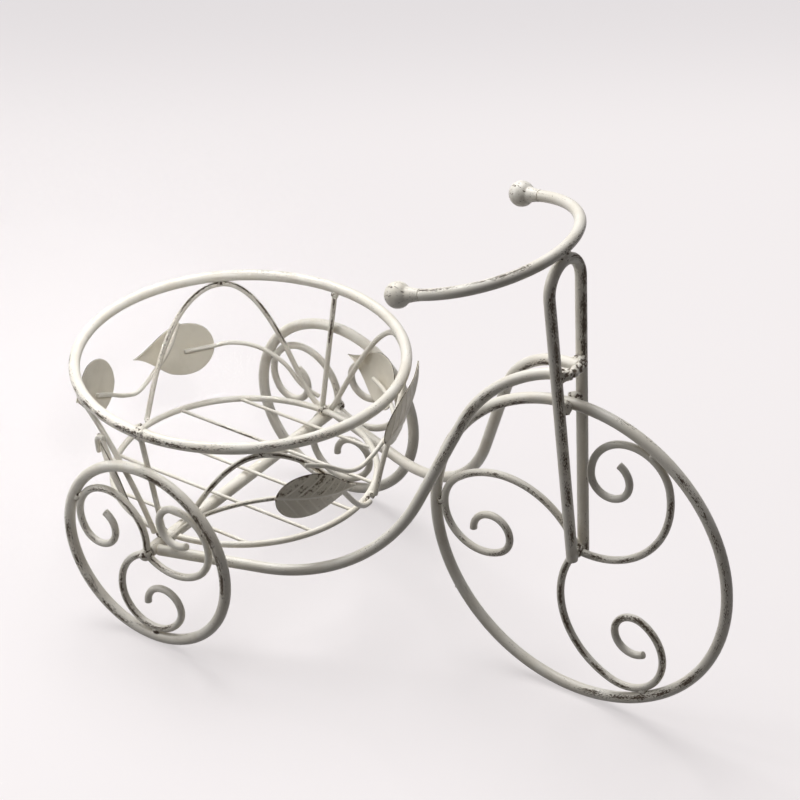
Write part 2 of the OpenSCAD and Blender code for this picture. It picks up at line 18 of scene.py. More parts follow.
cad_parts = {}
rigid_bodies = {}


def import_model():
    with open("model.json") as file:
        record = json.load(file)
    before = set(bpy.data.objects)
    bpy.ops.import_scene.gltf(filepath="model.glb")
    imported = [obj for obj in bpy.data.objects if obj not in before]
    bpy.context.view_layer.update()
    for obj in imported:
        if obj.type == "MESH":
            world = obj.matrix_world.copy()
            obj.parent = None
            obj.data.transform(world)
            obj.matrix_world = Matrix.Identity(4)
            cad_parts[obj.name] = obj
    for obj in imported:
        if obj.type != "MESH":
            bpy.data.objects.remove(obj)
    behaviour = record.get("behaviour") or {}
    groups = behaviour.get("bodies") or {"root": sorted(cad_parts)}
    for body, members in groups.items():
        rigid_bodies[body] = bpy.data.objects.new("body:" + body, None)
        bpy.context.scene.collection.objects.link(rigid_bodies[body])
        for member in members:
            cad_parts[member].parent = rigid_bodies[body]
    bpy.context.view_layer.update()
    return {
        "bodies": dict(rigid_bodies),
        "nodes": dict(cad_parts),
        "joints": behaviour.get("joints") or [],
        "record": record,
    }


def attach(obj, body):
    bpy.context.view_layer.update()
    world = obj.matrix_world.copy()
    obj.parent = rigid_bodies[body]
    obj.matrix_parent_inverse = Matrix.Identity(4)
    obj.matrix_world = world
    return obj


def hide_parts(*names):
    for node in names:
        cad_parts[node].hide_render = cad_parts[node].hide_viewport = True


LOG = logging.getLogger("plant_stand")
MM = 0.001
ROOT = "root"
# Angle in degrees over which an edge of a rod, and of any other piece, is sharp
SHARP_ROD = 50
SHARP_PIECE = 60
Colour = tuple[float, float, float]


class Slot(Enum):
    """Material slots of the record that the pieces take their finish from."""

    ROD = "rod_enamel"
    WIRE = "wire_enamel"
    LEAF = "leaf_enamel"
    WELD = "weld_enamel"


class Side(Enum):
    """The two sides of the stand, as the sign of Y."""

    RIGHT = -1
    LEFT = 1

    @property
    def word(self) -> str:
        """The side's name as the nodes have it."""
        return self.name.lower()


# Node trees


class Plug:
    """An output socket with arithmetic: an expression on plugs adds its Math nodes."""

    def __init__(self, graph: "Graph", socket: bpy.types.NodeSocket) -> None:
        """Wraps a socket.

        Args:
            graph: The graph that the socket belongs to.
            socket: The output socket.
        """
        self.graph = graph
        self.socket = socket

    def _math(self, operation: str, other: Any) -> "Plug":
        """Adds a Math node.

        Args:
            operation: The node's operation.
            other: Number or plug for its second input.

        Returns:
            The node's result.
        """
        return self.graph.plug("ShaderNodeMath", {"operation": operation}, {0: self, 1: other})

    def __add__(self, other: Any) -> "Plug":
        """This plus other."""
        return self._math("ADD", other)

    def __sub__(self, other: Any) -> "Plug":
        """This less other."""
        return self._math("SUBTRACT", other)

    def __mul__(self, other: Any) -> "Plug":
        """This times other."""
        return self._math("MULTIPLY", other)

    def most(self, other: Any) -> "Plug":
        """Takes the larger of this and another value.

        Args:
            other: Number or plug.

        Returns:
            The larger.
        """
        return self._math("MAXIMUM", other)

    def span(self, low: float, high: float) -> "Plug":
        """This mapped smoothly so that low becomes 0 and high becomes 1.

        Args:
            low: Value that becomes 0.
            high: Value that becomes 1.

        Returns:
            The mapped value.
        """
        settings = {"interpolation_type": "SMOOTHSTEP"}
        inputs = {"Value": self, "From Min": low, "From Max": high}
        return self.graph.plug("ShaderNodeMapRange", settings, inputs)


class Graph:
    """Adds nodes to one node tree."""

    def __init__(self, tree: bpy.types.NodeTree) -> None:
        """Takes a tree and empties it.

        Args:
            tree: The tree to build in.
        """
        self.tree = tree
        tree.nodes.clear()

    def node(
        self,
        kind: str,
        settings: dict[str, Any] | None = None,
        inputs: dict[Any, Any] | None = None,
    ) -> bpy.types.Node:
        """Adds a node.

        Args:
            kind: The node's type.
            settings: Its settings, such as an operation, or stops for a ramp. They are set first.
            inputs: Values, plugs or sockets for its inputs, by name or number.

        Returns:
            The new node.
        """
        made = self.tree.nodes.new(kind)
        for key, value in (settings or {}).items():
            if key == "stops":
                self._set_stops(made.color_ramp, value)
            else:
                setattr(made, key, value)
        for key, value in (inputs or {}).items():
            self.feed(made.inputs[key], value)
        return made

    def plug(
        self,
        kind: str,
        settings: dict[str, Any] | None = None,
        inputs: dict[Any, Any] | None = None,
        out: Any = 0,
    ) -> Plug:
        """Adds a node and gives one of its outputs.

        Args:
            kind: The node's type.
            settings: Its settings.
            inputs: Its inputs.
            out: Name or number of the output.

        Returns:
            The output, wrapped.
        """
        return Plug(self, self.node(kind, settings, inputs).outputs[out])

    def feed(self, socket: bpy.types.NodeSocket, value: Any) -> None:
        """Links a plug or socket to an input, or sets the input's value.

        Args:
            socket: The input.
            value: A plug, a socket or a plain value.
        """
        if isinstance(value, Plug):
            value = value.socket
        if isinstance(value, bpy.types.NodeSocket):
            self.tree.links.new(value, socket)
        else:
            socket.default_value = value

    @staticmethod
    def _set_stops(ramp: bpy.types.ColorRamp, stops: Sequence[tuple[float, Colour]]) -> None:
        """Gives a colour ramp its stops.

        Args:
            ramp: The ramp.
            stops: Position and colour of each, in order.
        """
        while len(ramp.elements) < len(stops):
            ramp.elements.new(1.0)
        for element, (position, colour) in zip(ramp.elements, stops):
            element.position = position
            element.color = (*colour, 1.0)

    def vector(self, operation: str, *values: Any, out: str = "Vector") -> Plug:
        """Adds a Vector Math node.

        Args:
            operation: The node's operation.
            values: Vectors or plugs for its inputs.
            out: Vector or Value.

        Returns:
            The node's result.
        """
        inputs = dict(enumerate(values))
        return self.plug("ShaderNodeVectorMath", {"operation": operation}, inputs, out=out)

    def mix_colour(self, factor: Any, first: Any, second: Any, blend: str = "MIX") -> Plug:
        """Mixes two colours.

        Args:
            factor: Share of the second.
            first: Colour or plug.
            second: Colour or plug.
            blend: Kind of mix.

        Returns:
            The mixed colour.
        """
        first, second = (c if isinstance(c, Plug) else (*c, 1.0) for c in (first, second))
        settings = {"data_type": "RGBA", "blend_type": blend}
        return self.plug("ShaderNodeMix", settings, {0: factor, 6: first, 7: second}, out=2)

    def mix(self, factor: Any, first: Any, second: Any) -> Plug:
        """Mixes two numbers.

        Args:
            factor: Share of the second.
            first: Number or plug.
            second: Number or plug.

        Returns:
            The mixed number.
        """
        return self.plug("ShaderNodeMix", {"data_type": "FLOAT"}, {0: factor, 2: first, 3: second})

    def noise(
        self, vector: Plug, scale: float, detail: float = 3.0, roughness: float = 0.55
    ) -> Plug:
        """Adds a noise texture.

        Args:
            vector: Where it is read.
            scale: Its scale.
            detail: Its detail.
            roughness: How much the detail counts.

        Returns:
            The noise, about 0.5.
        """
        inputs = {"Vector": vector, "Scale": scale, "Detail": detail, "Roughness": roughness}
        return self.plug("ShaderNodeTexNoise", None, inputs, out=0)

    def attribute(self, name: str, out: str = "Fac") -> Plug:
        """Reads an attribute of the mesh.

        Args:
            name: The attribute's name.
            out: Fac for a number or Vector for a vector.

        Returns:
            The attribute.
        """
        return self.plug("ShaderNodeAttribute", {"attribute_name": name}, None, out=out)


# Finishes


@dataclass(frozen=True)
class Enamel:
    """Cream enamel that is rubbed through to dark brown in thin broken streaks, and darkened along
    one side of some rods as painted shade.

    Attributes:
        name: Name of the material.
        cream: Main colour.
        pale: Lighter tone in its patches.
        brown: Colour of a light rub; a faint dark band of painted shade takes it too.
        dark: Colour where it is rubbed through; a strong dark band of painted shade takes it too.
        speck_length: Length of a speck along the rod, in millimetres.
        speck_turn: Width of a speck round the rod, as a share of its radius.
        streak_length: Length of a streak along the rod, in millimetres.
        streak_turn: Width of a streak round the rod, as a share of its radius.
        cluster_length: Length of a cluster of streaks, in millimetres.
        cluster_turn: Width of a cluster round the rod, as a share of its radius.
        speck_weight: How much the specks count.
        streak_weight: How much the streaks count.
        cluster_weight: How much the clusters count.
        wear_weight: How much the piece's own wear counts.
        ease: How easily the enamel is rubbed all over.
        band: How much a dark side counts; it is partly rubbed through and partly painted shade.
        core: How much more the middle of a dark side counts.
        band_span: How squarely a surface faces the dark side where the band starts and is full.
        core_span: The same for its middle.
        worn_span: Sum of the counts at which the enamel starts to thin and is through.
        gloss: Roughness of the enamel.
        rubbed_gloss: Roughness where it is rubbed.
        peel: Height of the orange peel, in metres.
        step: Depth of a rubbed place, in metres.
        bump: Strength of both.
        cloud_scale: Scale of the paler patches.
        peel_scale: Scale of the orange peel.
        gloss_play: How much the roughness varies with the peel.
        tint_span: Wear at which the brown starts to cover the cream and does.
        full_dark: Wear at which the brown is darkest.
    """

    name: str
    cream: Colour = (0.76, 0.715, 0.625)
    pale: Colour = (0.82, 0.785, 0.71)
    brown: Colour = (0.26, 0.195, 0.115)
    dark: Colour = (0.055, 0.038, 0.022)
    speck_length: float = 1.3
    speck_turn: float = 0.11
    streak_length: float = 9.0
    streak_turn: float = 0.14
    cluster_length: float = 24.0
    cluster_turn: float = 1.2
    speck_weight: float = 1.7
    streak_weight: float = 1.0
    cluster_weight: float = 0.7
    wear_weight: float = 0.42
    ease: float = -0.385
    band: float = 0.46
    core: float = 0.34
    band_span: tuple[float, float] = (0.55, 0.97)
    core_span: tuple[float, float] = (0.93, 0.99)
    worn_span: tuple[float, float] = (0.0, 0.24)
    gloss: float = 0.36
    rubbed_gloss: float = 0.72
    peel: float = 0.00005
    step: float = 0.00006
    bump: float = 0.5
    cloud_scale: float = 70.0
    peel_scale: float = 900.0
    gloss_play: float = 0.1
    tint_span: tuple[float, float] = (0.0, 0.6)
    full_dark: float = 0.8

    def worn(self, g: Graph, place: Plug) -> Plug:
        """Where the enamel is rubbed; the band along one side is partly painted shade.

        Args:
            g: The material's graph.
            place: Object coordinates; not used.

        Returns:
            0 on whole enamel, over 0.5 where the dark shows.
        """
        clusters = g.noise(self.rod_frame(g, self.cluster_length, self.cluster_turn), 1.0, 2.0)
        streaks = g.noise(self.rod_frame(g, self.streak_length, self.streak_turn), 1.0, 3.0, 0.6)
        specks = g.noise(self.rod_frame(g, self.speck_length, self.speck_turn), 1.0, 2.0, 0.6)
        facing = g.plug("ShaderNodeNewGeometry", None, None, out="Normal")
        # Dark band along one side: partly real rub-through and partly painted shade, on the
        # scrolls' camera-facing side and on the arch under the basket rim
        side = g.attribute("rubbed", "Vector")
        amount = g.vector("LENGTH", side, out="Value")
        towards = g.vector("DOT_PRODUCT", g.vector("NORMALIZE", side), facing, out="Value")
        band = towards.span(*self.band_span) * self.band
        rubbed = (band + towards.span(*self.core_span) * self.core) * amount
        value = (specks - 0.5) * self.speck_weight + (streaks - 0.5) * self.streak_weight
        value = value + (clusters - 0.5) * self.cluster_weight
        value = value + g.attribute("wear") * self.wear_weight + rubbed + self.ease
        return value.span(*self.worn_span)

    def skin(self, g: Graph, place: Plug) -> Plug:
        """Colour of the whole enamel, which is paler in patches.

        Args:
            g: The material's graph.
            place: Object coordinates.

        Returns:
            The colour.
        """
        clouds = g.noise(place, self.cloud_scale)
        return g.mix_colour(clouds.span(0.35, 0.65), self.cream, self.pale)

    @staticmethod
    def rod_frame(g: Graph, length: float, turn: float) -> Plug:
        """Coordinates along and round a rod.

        Args:
            g: The material's graph.
            length: Length along the rod of one unit, in millimetres.
            turn: Width round the rod of one unit, as a share of its radius.

        Returns:
            The coordinates.
        """
        wrap = g.node("ShaderNodeSeparateXYZ", None, {0: g.attribute("wrap", "Vector")})
        across = [Plug(g, wrap.outputs[axis]) * (1 / turn) for axis in (0, 1)]
        along = g.attribute("along") * (1 / length)
        return g.plug("ShaderNodeCombineXYZ", None, {0: along, 1: across[0], 2: across[1]})

    def build(self) -> bpy.types.Material:
        """Makes the material.

        Returns:
            The material.
        """
        material = bpy.data.materials.new(self.name)
        material.use_nodes = True
        g = Graph(material.node_tree)
        place = g.plug("ShaderNodeTexCoord", None, None, out="Object")
        worn = self.worn(g, place)
        skin = self.skin(g, place)
        # The brown and dark tint covers rub-through and the painted shade of the dark bands
        stops = [(0.0, self.brown), (self.full_dark, self.dark)]
        tint = g.plug("ShaderNodeValToRGB", {"stops": stops}, {0: worn})
        colour = g.mix_colour(worn.span(*self.tint_span), skin, tint)
        peel = g.noise(place, self.peel_scale, 2.0)
        height = peel * self.peel - worn * self.step
        relief = {"Strength": self.bump, "Distance": 1.0, "Height": height}
        bump = g.plug("ShaderNodeBump", None, relief)
        gloss = (peel - 0.5) * self.gloss_play + self.gloss
        shader = g.node(
            "ShaderNodeBsdfPrincipled",
            None,
            {
                "Base Color": colour,
                "Roughness": g.mix(worn, gloss, self.rubbed_gloss),
                "Normal": bump,
            },
        )
        g.node("ShaderNodeOutputMaterial", None, {"Surface": shader.outputs[0]})
        return material


@dataclass(frozen=True)
class WeldEnamel(Enamel):
    """Enamel over a lumpy weld: pale on its lumps, dark in its crevices.

    Attributes:
        patch_scale: Scale of the thin patches.
        patch_weight: How much the patches count.
        grain_scale: Scale of the grain.
        grain_weight: How much the grain counts.
        crevice_ease: How easily the enamel is thin all over.
    """

    name: str = "weld_lumps"
    wear_weight: float = 0.7
    worn_span: tuple[float, float] = (0.12, 0.30)
    patch_scale: float = 260.0
    patch_weight: float = 1.2
    grain_scale: float = 1200.0
    grain_weight: float = 0.7
    crevice_ease: float = -0.10

    def worn(self, g: Graph, place: Plug) -> Plug:
        """Where the enamel is thin: in the crevices and in small patches.

        Args:
            g: The material's graph.
            place: Object coordinates.

        Returns:
            0 on whole enamel, over 0.5 where the dark shows.
        """
        patches = g.noise(place, self.patch_scale, 3.0, 0.6)
        grain = g.noise(place, self.grain_scale, 3.0, 0.7)
        value = (patches - 0.5) * self.patch_weight + (grain - 0.5) * self.grain_weight
        value = value + g.attribute("wear") * self.wear_weight + self.crevice_ease
        return value.span(*self.worn_span)


@dataclass(frozen=True)
class LeafEnamel(Enamel):
    """Thin enamel on pressed sheet, brown along its edge, with a painted highlight on its veins.

    Attributes:
        dull: Colour of a darker face, partly worn and partly painted shade.
        raised: Colour of the painted highlight on the raised veins.
        dull_span: Wear at which a face starts to be dull and is.
        raised_span: Wear below nothing at which a vein's painted highlight starts and is full.
        mottle_scale: Scale of the mottle.
        mottle_weight: How much the mottle counts.
        grain_scale: Scale of the grain.
        grain_weight: How much the grain counts.
    """

    name: str = "leaf_sheet"
    cream: Colour = (0.72, 0.67, 0.565)
    pale: Colour = (0.80, 0.75, 0.645)
    worn_span: tuple[float, float] = (0.0, 0.35)
    # Darker face: partly real wear and partly painted shade
    dull: Colour = (0.68, 0.635, 0.54)
    # Painted highlight on the raised veins
    raised: Colour = (0.96, 0.92, 0.84)
    dull_span: tuple[float, float] = (0.2, 0.5)
    raised_span: tuple[float, float] = (0.0, 0.5)
    mottle_scale: float = 240.0
    mottle_weight: float = 1.1
    grain_scale: float = 1100.0
    grain_weight: float = 0.5

    def skin(self, g: Graph, place: Plug) -> Plug:
        """Colour of the whole enamel: duller on a face that is partly worn and partly painted in
        shade, and palest on raised veins as a painted highlight.

        Args:
            g: The material's graph.
            place: Object coordinates.

        Returns:
            The colour.
        """
        wear = g.attribute("wear")
        # Duller face: partly real wear and partly painted shade
        skin = g.mix_colour(wear.span(*self.dull_span), super().skin(g, place), self.dull)
        # Painted highlight: the raised veins are painted paler, as if they caught the light
        return g.mix_colour((wear * -1.0).span(*self.raised_span), skin, self.raised)

    def worn(self, g: Graph, place: Plug) -> Plug:
        """Where the enamel is rubbed: along the edge, and on the outer face of some leaves, where
        it is partly painted shade.

        Args:
            g: The material's graph.
            place: Object coordinates.

        Returns:
            0 on whole enamel, over 0.5 where the dark shows.
        """
        mottle = g.noise(place, self.mottle_scale, 4.0, 0.65)
        grain = g.noise(place, self.grain_scale, 2.0, 0.7)
        value = (mottle - 0.5) * self.mottle_weight + (grain - 0.5) * self.grain_weight
        value = value + g.attribute("wear") - 0.5
        return value.span(*self.worn_span)


# Rods


def polar(radius: float, degrees: float) -> Vector:
    """A flat vector.

    Args:
        radius: Its length.
        degrees: Its angle from X towards Y.

    Returns:
        The vector, with z at 0.
    """
    angle = math.radians(degrees)
    return Vector((radius * math.cos(angle), radius * math.sin(angle), 0.0))


def arc(
    centre: Vector, radius: float, start: float, turn: float, step: float = 1.2
) -> list[Vector]:
    """Points of an arc in the XY plane.

    Args:
        centre: Its centre.
        radius: Its radius.
        start: Angle of its first point.
        turn: Angle that it turns through.
        step: Longest distance between two points.

    Returns:
        The points, both ends among them.
    """
    count = max(4, math.ceil(abs(math.radians(turn)) * radius / step))
    return [centre + polar(radius, start + turn * k / count) for k in range(count + 1)]


def line(first: Vector, last: Vector, step: float = 2.0) -> list[Vector]:
    """Points of a straight.

    Args:
        first: First point.
        last: Last point.
        step: Longest distance between two points.

    Returns:
        The points, both ends among them.
    """
    count = max(2, math.ceil((last - first).length / step))
    return [first.lerp(last, k / count) for k in range(count + 1)]


def corner(
    before: Vector, at: Vector, after: Vector, radius: float, step: float = 1.2
) -> list[Vector]:
    """Points of a bend round a corner.

    Args:
        before: Point before the corner.
        at: The corner.
        after: Point after it.
        radius: Radius of the bend.
        step: Longest distance between two points.

    Returns:
        The points of the bend.
    """
    a = (before - at).normalized()
    b = (after - at).normalized()
    half = a.angle(b) / 2
    centre = at + (a + b).normalized() * radius / math.sin(half)
    first = at + a * radius / math.tan(half) - centre
    turn = math.pi - 2 * half
    axis = first.cross(-a).normalized()
    count = max(4, math.ceil(turn * radius / step))
    return [centre + Matrix.Rotation(turn * k / count, 3, axis) @ first for k in range(count + 1)]


def upright(points: Iterable[Vector], hub: Vector) -> list[Vector]:
    """Stands flat points up in a wheel's plane: X stays and Y becomes Z.

    Args:
        points: The flat points.
        hub: The wheel's hub.

    Returns:
        The points about the hub.
    """
    return [hub + Vector((p.x, -p.z, p.y)) for p in points]


def tidy_path(points: Sequence[Vector], least: float = 0.05) -> list[Vector]:
    """Leaves out points that repeat the one before.

    Args:
        points: The points.
        least: Least distance between two points.

    Returns:
        The points that are kept.
    """
    kept = [points[0]]
    for point in points[1:]:
        if (point - kept[-1]).length > least:
            kept.append(point)
    return kept


@dataclass(frozen=True)
class Rub:
    """A place on one side of a rod that is darker: partly where the enamel is rubbed and partly
    painted shade.

    Attributes:
        at: Point of the rod's centre line beside it, in millimetres.
        amount: How much darker it is.
        side: Direction in which it faces.
        reach: How far it reaches along the rod, in millimetres.
    """

    at: tuple[float, ...]
    amount: float
    side: tuple[float, ...]
    reach: float = 9.0


def dark_bands(amount: float, *rows: tuple[float, ...]) -> tuple[Rub, ...]:
    """Dark places of the same amount, partly rubbed and partly painted shade.

    Args:
        amount: How much darker they are.
        rows: Point and direction of each, six numbers.

    Returns:
        The places.
    """
    return tuple(Rub(row[:3], amount, row[3:]) for row in rows)


@dataclass
class RodSweep:
    """Geometry-nodes tree that sweeps a round rod along a path of points.

    Attributes:
        sides: Facets round the rod.
        unevenness: How much the rod's thickness varies.
        swell: Scale of the noise by which it varies.
        tree: The tree, once it is made.
        sockets: Identifiers of its inputs, by their name.
    """

    sides: int = 20
    unevenness: float = 0.03
    swell: float = 90.0
    tree: bpy.types.NodeTree | None = None
    sockets: dict[str, str] = field(default_factory=dict)

    def build(self) -> None:
        """Makes the tree, with named inputs for its sizes."""
        tree = bpy.data.node_groups.new("rod_sweep", "GeometryNodeTree")
        face = tree.interface
        face.new_socket("Geometry", in_out="OUTPUT", socket_type="NodeSocketGeometry")
        face.new_socket("Geometry", in_out="INPUT", socket_type="NodeSocketGeometry")
        for name, kind in (
            ("Radius", "NodeSocketFloat"),
            ("Sides", "NodeSocketInt"),
            ("Unevenness", "NodeSocketFloat"),
            ("Material", "NodeSocketMaterial"),
        ):
            self.sockets[name] = face.new_socket(name, in_out="INPUT", socket_type=kind).identifier
        g = Graph(tree)
        given = g.node("NodeGroupInput")
        curve = g.plug("GeometryNodeMeshToCurve", None, {"Mesh": given.outputs["Geometry"]})
        length = g.plug("GeometryNodeSplineParameter", None, None, out="Length") * (1 / MM)
        curve = g.plug(
            "GeometryNodeStoreNamedAttribute",
            {"data_type": "FLOAT", "domain": "POINT"},
            {"Geometry": curve, "Name": "along", "Value": length},
        )
        profile = g.plug(
            "GeometryNodeCurvePrimitiveCircle",
            {"mode": "RADIUS"},
            {"Resolution": given.outputs["Sides"], "Radius": given.outputs["Radius"]},
        )
        place = g.plug("GeometryNodeInputPosition")
        unit = g.vector("NORMALIZE", place)
        profile = g.plug(
            "GeometryNodeStoreNamedAttribute",
            {"data_type": "FLOAT_VECTOR", "domain": "POINT"},
            {"Geometry": profile, "Name": "wrap", "Value": unit},
        )
        bumps = g.noise(place, self.swell, 2.0) * -1.0
        thickness = g.plug(
            "GeometryNodeInputNamedAttribute", {"data_type": "FLOAT"}, {"Name": "thickness"}
        )
        scale = thickness * (bumps * Plug(g, given.outputs["Unevenness"]) + 1.0)
        swept = g.plug(
            "GeometryNodeCurveToMesh",
            None,
            {"Curve": curve, "Profile Curve": profile, "Scale": scale, "Fill Caps": True},
        )
        shading = {"Geometry": swept, "Shade Smooth": True}
        smooth = g.plug("GeometryNodeSetShadeSmooth", None, shading)
        whole = g.plug("GeometryNodeRealizeInstances", None, {"Geometry": smooth})
        dressing = {"Geometry": whole, "Material": given.outputs["Material"]}
        dressed = g.plug("GeometryNodeSetMaterial", None, dressing)
        g.node("NodeGroupOutput", None, {"Geometry": dressed})
        self.tree = tree

    def sweep(
        self, path: bpy.types.Object, radius: float, material: bpy.types.Material
    ) -> bpy.types.Mesh:
        """Sweeps a rod along a path object and gives the plain mesh.

        Args:
            path: Object whose mesh is the path.
            radius: Radius of the rod, in millimetres.
            material: Its material.

        Returns:
            The swept mesh.
        """
        modifier = path.modifiers.new("rod_sweep", "NODES")
        modifier.node_group = self.tree
        modifier[self.sockets["Radius"]] = radius * MM
        modifier[self.sockets["Sides"]] = self.sides
        modifier[self.sockets["Unevenness"]] = self.unevenness
        modifier[self.sockets["Material"]] = material
        mesh = plain_mesh(path)
        path.modifiers.remove(modifier)
        return mesh


def plain_mesh(piece: bpy.types.Object) -> bpy.types.Mesh:
    """Gives the object's mesh with its modifiers applied.

    Args:
        piece: The object.

    Returns:
        A new mesh.
    """
    graph = bpy.context.evaluated_depsgraph_get()
    graph.update()
    return bpy.data.meshes.new_from_object(
        piece.evaluated_get(graph), preserve_all_data_layers=True, depsgraph=graph
    )


def show(name: str, mesh: bpy.types.Mesh) -> bpy.types.Object:
    """Makes an object of a mesh, at the origin, in the scene's collection.

    Args:
        name: The object's name.
        mesh: Its mesh.

    Returns:
        The object.
    """
    piece = bpy.data.objects.new(f"painted_{name}", mesh)
    bpy.context.scene.collection.objects.link(piece)
    return piece


def hand_over(piece: bpy.types.Object, slot: Slot, *nodes: str) -> bpy.types.Object:
    """Gives a finished piece its body and hides the nodes that it stands for.

    Args:
        piece: The finished object.
        slot: Slot of the record that it takes its finish from; not used.
        nodes: Names of the nodes that it replaces.

    Returns:
        The piece.
    """
    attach(piece, ROOT)
    if nodes:
        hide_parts(*nodes)
    LOG.info("piece %s: %d faces", piece.name, len(piece.data.polygons))
    return piece


@dataclass
class Workshop:
    """What every sub-assembly shares: stock sizes, finishes and the sweeping tree.

    Attributes:
        rod: Radius of the heavy rod.
        axle: Radius of the rear axle.
        scroll: Radius of the wire of the wheel scrolls.
        ring: Radius of the wire of the floor ring.
        wire: Radius of the wire of the arches and stays.
        tendril: Radius of the wire of the tendrils.
        floor: Radius of the wires across the floor.
        gap: Gap that only a weld bridges.
        end_round: Length over which the cut end of a rod is rounded.
        dark_bands: Dark places along one side of a rod, partly rubbed and partly painted shade, by
            the name of the rod.
        faintest: Least amount of darkening that counts.
        sweeper: The tree that sweeps a rod.
        finishes: The material of each slot.
    """

    rod: float = 3.0
    axle: float = 3.5
    scroll: float = 2.0
    ring: float = 1.75
    wire: float = 1.5
    tendril: float = 1.25
    floor: float = 1.0
    gap: float = 0.2
    end_round: float = 0.55
    dark_bands: dict[str, tuple[Rub, ...]] = field(default_factory=dict)
    faintest: float = 0.02
    sweeper: RodSweep = field(default_factory=RodSweep)
    finishes: dict[Slot, bpy.types.Material] = field(default_factory=dict)

    # Share of the rounded length, and thickness of the rod there
    END_SHAPE: ClassVar[tuple[tuple[float, float], ...]] = (
        (0.0, 0.80),
        (0.12, 0.90),
        (0.3, 0.965),
        (1.0, 1.0),
    )

    def prepare(self) -> None:
        """Makes the finishes and the tree."""
        self.sweeper.build()
        self.finishes = {
            Slot.ROD: Enamel("rod_cream").build(),
            Slot.WIRE: Enamel("wire_cream", streak_turn=0.2, speck_turn=0.16).build(),
            Slot.LEAF: LeafEnamel().build(),
            Slot.WELD: WeldEnamel().build(),
        }

    def darkened_side(self, name: str, point: Vector) -> Vector:
        """Side on which a rod is darker at a point, partly rubbed and partly painted shade.

        Args:
            name: The rod's name.
            point: Point of its centre line, in millimetres.

        Returns:
            The direction of that side, as long as the side is dark.
        """
        total = Vector()
        most = 0.0
        for rub in self.dark_bands.get(name, ()):
            near = math.exp(-(((point - Vector(rub.at)).length / rub.reach) ** 2))
            total += Vector(rub.side) * near
            most = max(most, near * rub.amount)
        return total.normalized() * most if most > self.faintest else Vector()

    def rod_piece(
        self,
        name: str,
        points: Sequence[Vector],
        radius: float,
        slot: Slot,
        closed: bool = False,
        wear: float = 0.0,
    ) -> bpy.types.Object:
        """Makes one rod along points and hands it over.

        Args:
            name: The piece's name, which is that of the node that it replaces.
            points: Its centre line, in millimetres.
            radius: Its radius, in millimetres.
            slot: Slot of its finish.
            closed: Whether it is a ring.
            wear: How worn it is all over.

        Returns:
            The piece.
        """
        path = tidy_path(points)
        thickness = [1.0] * len(path)
        if not closed:
            path, thickness = self._round_ends(path)
        mesh = bpy.data.meshes.new(name)
        edges = [(k, k + 1) for k in range(len(path) - 1)]
        if closed:
            edges.append((len(path) - 1, 0))
        mesh.from_pydata([p * MM for p in path], edges, [])
        for key, values in (("thickness", thickness), ("wear", [wear] * len(path))):
            mesh.attributes.new(key, "FLOAT", "POINT").data.foreach_set("value", values)
        # Side and amount of each point's dark band, partly rub-through and partly painted shade, go
        # into the rubbed attribute
        sides = [value for p in path for value in self.darkened_side(name, p)]
        mesh.attributes.new("rubbed", "FLOAT_VECTOR", "POINT").data.foreach_set("vector", sides)
        piece = show(name, mesh)
        piece.data = self.sweeper.sweep(piece, radius, self.finishes[slot])
        piece.data.name = name
        piece.data.set_sharp_from_angle(angle=math.radians(SHARP_ROD))
        bpy.data.meshes.remove(mesh)
        return hand_over(piece, slot, name)

    def _round_ends(self, path: list[Vector]) -> tuple[list[Vector], list[float]]:
        """Adds points near both ends of a path, at which the rod is thinner.

        Args:
            path: The path.

        Returns:
            The new path and the thickness at each of its points.
        """
        starts = []
        for first, second in ((path[0], path[1]), (path[-1], path[-2])):
            way = (second - first).normalized() * self.end_round
            starts.append([first + way * share for share, _ in self.END_SHAPE])
        middle = [
            p
            for p in path[1:-1]
            if min((p - path[0]).length, (p - path[-1]).length) > self.end_round * 1.5
        ]
        whole = starts[0] + middle + starts[1][::-1]
        sizes = [size for _, size in self.END_SHAPE]
        return whole, sizes + [1.0] * len(middle) + sizes[::-1]


# Wheels


@dataclass(frozen=True)
class ScrollRule:
    """How a wheel's scrolls are bent: three bends of falling radius.

    Attributes:
        share: Radius of the first bend, as a share of the reach.
        first_turn: Turn of the first bend.
        middle_turn: Turn of the middle bend, which touches the rim.
        curl_turn: Turn of the curl.
        phase: Direction in which the first scroll touches the rim.
        curl: Radius of the curl.
        start: Distance from the hub at which it starts.
    """

    share: float
    first_turn: float
    middle_turn: float
    curl_turn: float
    phase: float
    curl: float = 10.8
    start: float = 2.8

    def path(self, reach: float, turn: float) -> list[Vector]:
        """Centre line of one scroll, flat, about the hub.

        Args:
            reach: Distance from the hub to the middle of its wire at the rim.
            turn: How far it is turned from the first.

        Returns:
            Its points.
        """
        radius = self.share * reach
        first = Vector((self.start, radius, 0.0))
        aim = polar(1.0, self.first_turn - 90)
        slack = reach - radius
        shorter = (slack * slack - first.length_squared) / (2 * (first.dot(aim) - slack))
        middle = radius - shorter
        second = first + polar(radius - middle, self.first_turn - 90)
        both = self.first_turn + self.middle_turn
        third = second + polar(middle - self.curl, both - 90)
        points = arc(first, radius, -90, self.first_turn)
        points += arc(second, middle, self.first_turn - 90, self.middle_turn)
        points += arc(third, self.curl, both - 90, self.curl_turn, 0.8)
        rotation = math.radians(self.phase - turn) - math.atan2(second.y, second.x)
        spin = Matrix.Rotation(rotation, 3, "Z")
        return [spin @ p for p in points]


